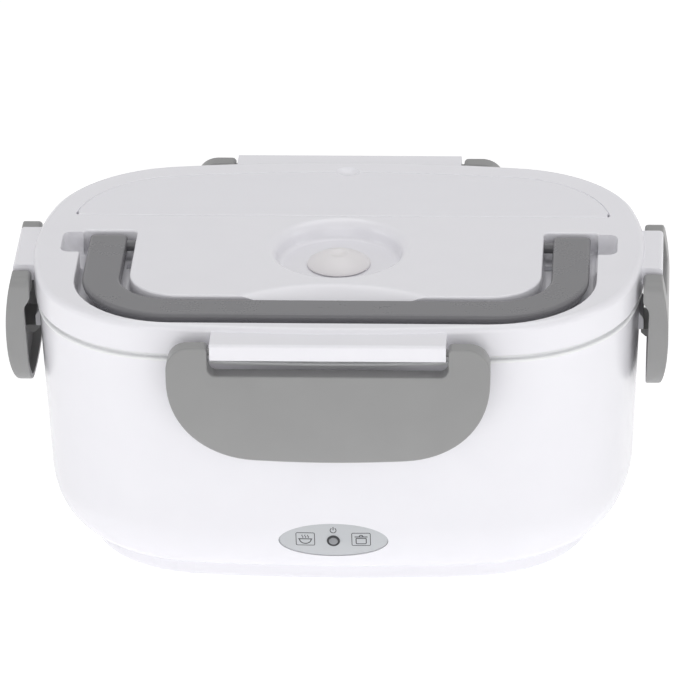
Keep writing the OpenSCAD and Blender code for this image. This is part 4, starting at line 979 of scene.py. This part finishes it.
combine(handle, [rod("pin", 2, s * 74.6 - 4.7, s * 74.6 + 4.7, *PIVOT) for s in (-1, 1)], "UNION")
finish_piece(handle, "carry_handle", handle_grey, "grey_handle", "handle", angle=40)

# --- Latches ----------------------------------------------------------------------------
# Four grey latches of one pattern: a bowed plate with a hollow back and a hook, hung by two
# ears from pins in the lid's ledge, with an open slot between plate and ledge.

FACE_R = 90.0
FACE_OUT = 5.2
FAT = 17.5
LATCH_H = 42.5
SLOT_Z = -7.5
EAR_TOP = 2.5
latch_grey = plastic("grey latch plastic", (0.3, 0.3, 0.3), (0.325, 0.325, 0.325), (0.32, 0.4), 0.02, 1200,
                     Specular_IOR_Level=0.2)


def latch_outline(half, ear_w, r, bow, ear_r):
    """Front view of a latch around its axis: bowed foot, two ears and the slot between them."""
    foot = -LATCH_H + bow
    lean_in = math.degrees(math.asin((half - r) / (bow - r)))
    corner_z = foot - math.sqrt((bow - r) ** 2 - (half - r) ** 2)
    ear = half - ear_w
    return [
        (half - r, corner_z, r, 270 + lean_in, 360, 18), (half - ear_r, EAR_TOP - ear_r, ear_r, 0, 90, 14),
        (ear + 1.6, EAR_TOP - 1.6, 1.6, 90, 180, 6), (ear - 3, SLOT_Z + 3, 3, 360, 270, 8),
        (3 - ear, SLOT_Z + 3, 3, 270, 180, 8), (-ear - 1.6, EAR_TOP - 1.6, 1.6, 0, 90, 6),
        (ear_r - half, EAR_TOP - ear_r, ear_r, 90, 180, 14), (r - half, corner_z, r, 180, 270 - lean_in, 18),
        (0, foot, bow, 270 - lean_in, 270 + lean_in, 24)]


def face_y(z):
    """The bowed front face, out from the axis."""
    return FACE_OUT - FACE_R + math.sqrt(FACE_R ** 2 - (z + FAT) ** 2)


def back_y(z):
    """The back's rim: a round knuckle at the axis, then nearly flat down to the foot."""
    if z >= 0:
        return -math.sqrt(3.8 ** 2 - min(z, 3.6) ** 2)
    if z >= -4.9:
        return -3.8
    if z >= -7.9:
        return -3.8 + 2.1 * (-4.9 - z) / 3
    return -1.7 - 1.4 * (-7.5 - z) / (LATCH_H - 7.5)


def make_latch(name, body, node, turn, reach, half, ear_w, r, bow, ear_r, hook_half, hook_in):
    """A latch, built flat about its axis, bent, and set at its side of the lid."""
    arcs = latch_outline(half, ear_w, r, bow, ear_r)
    edge = 0.6
    turns = [math.pi / 2 * i / 6 for i in range(7)]
    # depth runs from 0 at the face to 1 at the back; the edge radius is added in millimetres
    layers = [(-edge * (1 - math.sin(t)), 0, edge * (1 - math.cos(t))) for t in turns]
    layers += [(0, 1, -0.5), (-0.15, 1, -0.15), (-0.5, 1, 0), (-2.0, 1, 0), (-2.2, 0, 2.4)]
    rings = []
    for grow, depth, mm in layers:
        points = ring(arcs, grow)
        rings.append(np.column_stack([points[:, 0], np.full(len(points), depth * 20 + mm), points[:, 1]]))
    plate = loft(name, rings)
    shape = bmesh.new()
    shape.from_mesh(plate.data)
    bmesh.ops.triangulate(shape, faces=[f for f in shape.faces if len(f.verts) > 4])
    for z in np.arange(-LATCH_H + 2, EAR_TOP, 1.5):
        bmesh.ops.bisect_plane(shape, geom=shape.verts[:] + shape.edges[:] + shape.faces[:], dist=1e-7,
                               plane_co=(0, 0, z * MM), plane_no=(0, 0, 1))
    for v in shape.verts:
        _, y, z = v.co / MM
        v.co.y = (back_y(z) - (y - 20) if y > 10 else face_y(z) - y) * MM
    bmesh.ops.recalc_face_normals(shape, faces=shape.faces)
    shape.to_mesh(plate.data)
    shape.free()
    hook_z = CATCH_Z - 0.3 - AXIS_Z
    root = FACE_OUT - 1.8
    ear = half - ear_w
    extra = [along_x("hook", -hook_half, hook_half, bend_path([
        (root, hook_z, 0), (-hook_in, hook_z, 0.4), (-hook_in, hook_z - 1.4, 0.6), (-3.1, hook_z - 3, 0),
        (root, hook_z - 3, 0)], 4))]
    extra += [rod("pin", 1.3, *sorted((s * (ear - 4.5), s * (ear + 2))), 0, 0, 24) for s in (-1, 1)]
    combine(plate, extra, "UNION")
    plate.data.transform(Matrix.Rotation(math.radians(turn), 4, "Z")
                         @ Matrix.Translation((0, AXIS_OUT[reach] * MM, AXIS_Z * MM)))
    return finish_piece(plate, body, latch_grey, "grey_latch", node, angle=38)


LONG = (56.8, 14.5, 32, 390, 8, 28, 7.1)
SHORT = (28.0, 11.0, 16, 130, 5, 9, 4.8)
make_latch("latch_rear", "back_latch", "latch_back", 0, 1, *LONG)
make_latch("latch_fore", "front_latch", "latch_front", 180, 1, *LONG)
make_latch("latch_port", "left_latch", "latch_left", 90, 0, *SHORT)
make_latch("latch_starboard", "right_latch", "latch_right", -90, 0, *SHORT)

# --- Camera, lights and floor -----------------------------------------------------------
# The photograph's long lens from above the front, a big soft light in front, weaker light
# from above and the sides, and a pale floor that keeps the shadow.

AIM = Vector((3.24, 0, 64.39)) * MM
CAMERA_AWAY = 2.453
turn, down, roll = math.radians(-3.29), math.radians(25.74), math.radians(-1.04)
ahead = Vector((math.sin(turn) * math.cos(down), math.cos(turn) * math.cos(down), -math.sin(down)))
right = Vector((math.cos(turn), -math.sin(turn), 0))
up = right.cross(ahead)
right, up = right * math.cos(roll) + up * math.sin(roll), up * math.cos(roll) - right * math.sin(roll)
camera = bpy.data.objects.new("camera", bpy.data.cameras.new("camera"))
camera.matrix_world = (Matrix.Translation(AIM - ahead * CAMERA_AWAY)
                       @ Matrix((right, up, -ahead)).transposed().to_4x4())
camera.data.lens = 348.2
camera.data.sensor_width = 36
camera.data.clip_end = 20
bpy.context.scene.collection.objects.link(camera)
bpy.context.scene.camera = camera


def softbox(name, place, aim, size, power):
    """Rectangular soft light."""
    light = bpy.data.lights.new(name, "AREA")
    light.shape = "RECTANGLE"
    light.size, light.size_y = size
    light.energy = power
    lamp = bpy.data.objects.new(name, light)
    lamp.location = place
    lamp.rotation_euler = (Vector(aim) - Vector(place)).to_track_quat("-Z", "Y").to_euler()
    bpy.context.scene.collection.objects.link(lamp)


softbox("front light", (0.05, -1.5, 0.5), (0, 0, 0.06), (1.5, 0.9), 7.0)
softbox("top light", (0.1, 0.35, 1.4), (0, 0, 0.1), (1.2, 0.9), 5.6)
softbox("left light", (-1.4, -0.3, 0.6), (0, 0, 0.08), (0.7, 0.9), 3)
softbox("right light", (1.4, -0.3, 0.6), (0, 0, 0.08), (0.7, 0.9), 3)

world = bpy.data.worlds.new("white studio")
bpy.context.scene.world = world
world.use_nodes = True
sky, links = world.node_tree.nodes, world.node_tree.links
rays = sky.new("ShaderNodeLightPath")
seen = sky.new("ShaderNodeMath")
seen.operation = "MAXIMUM"
seen_all = sky.new("ShaderNodeMath")
seen_all.operation = "MAXIMUM"
links.new(rays.outputs["Is Camera Ray"], seen.inputs[0])
links.new(rays.outputs["Is Glossy Ray"], seen.inputs[1])
links.new(seen.outputs["Value"], seen_all.inputs[0])
links.new(rays.outputs["Is Transmission Ray"], seen_all.inputs[1])
level = sky.new("ShaderNodeMapRange")
level.inputs["To Min"].default_value = 0.36
level.inputs["To Max"].default_value = 1.0
links.new(seen_all.outputs["Value"], level.inputs["Value"])
links.new(level.outputs["Result"], sky["Background"].inputs["Strength"])
sky["Background"].inputs["Color"].default_value = (1, 1, 1, 1)

floor = loft("floor", [[(x * 4000, y * 4000, z) for x, y in ((-1, -1), (1, -1), (1, 1), (-1, 1))]
                       for z in (-8, 0)])
floor.data.materials.append(plastic("pale floor", (0.88, 0.88, 0.88), (0.9, 0.9, 0.9), (0.7, 0.9), 0.0,
                                    200, 4, Emission_Color=(1, 1, 1, 1), Emission_Strength=0.42))

bpy.context.scene.view_settings.view_transform = "Standard"
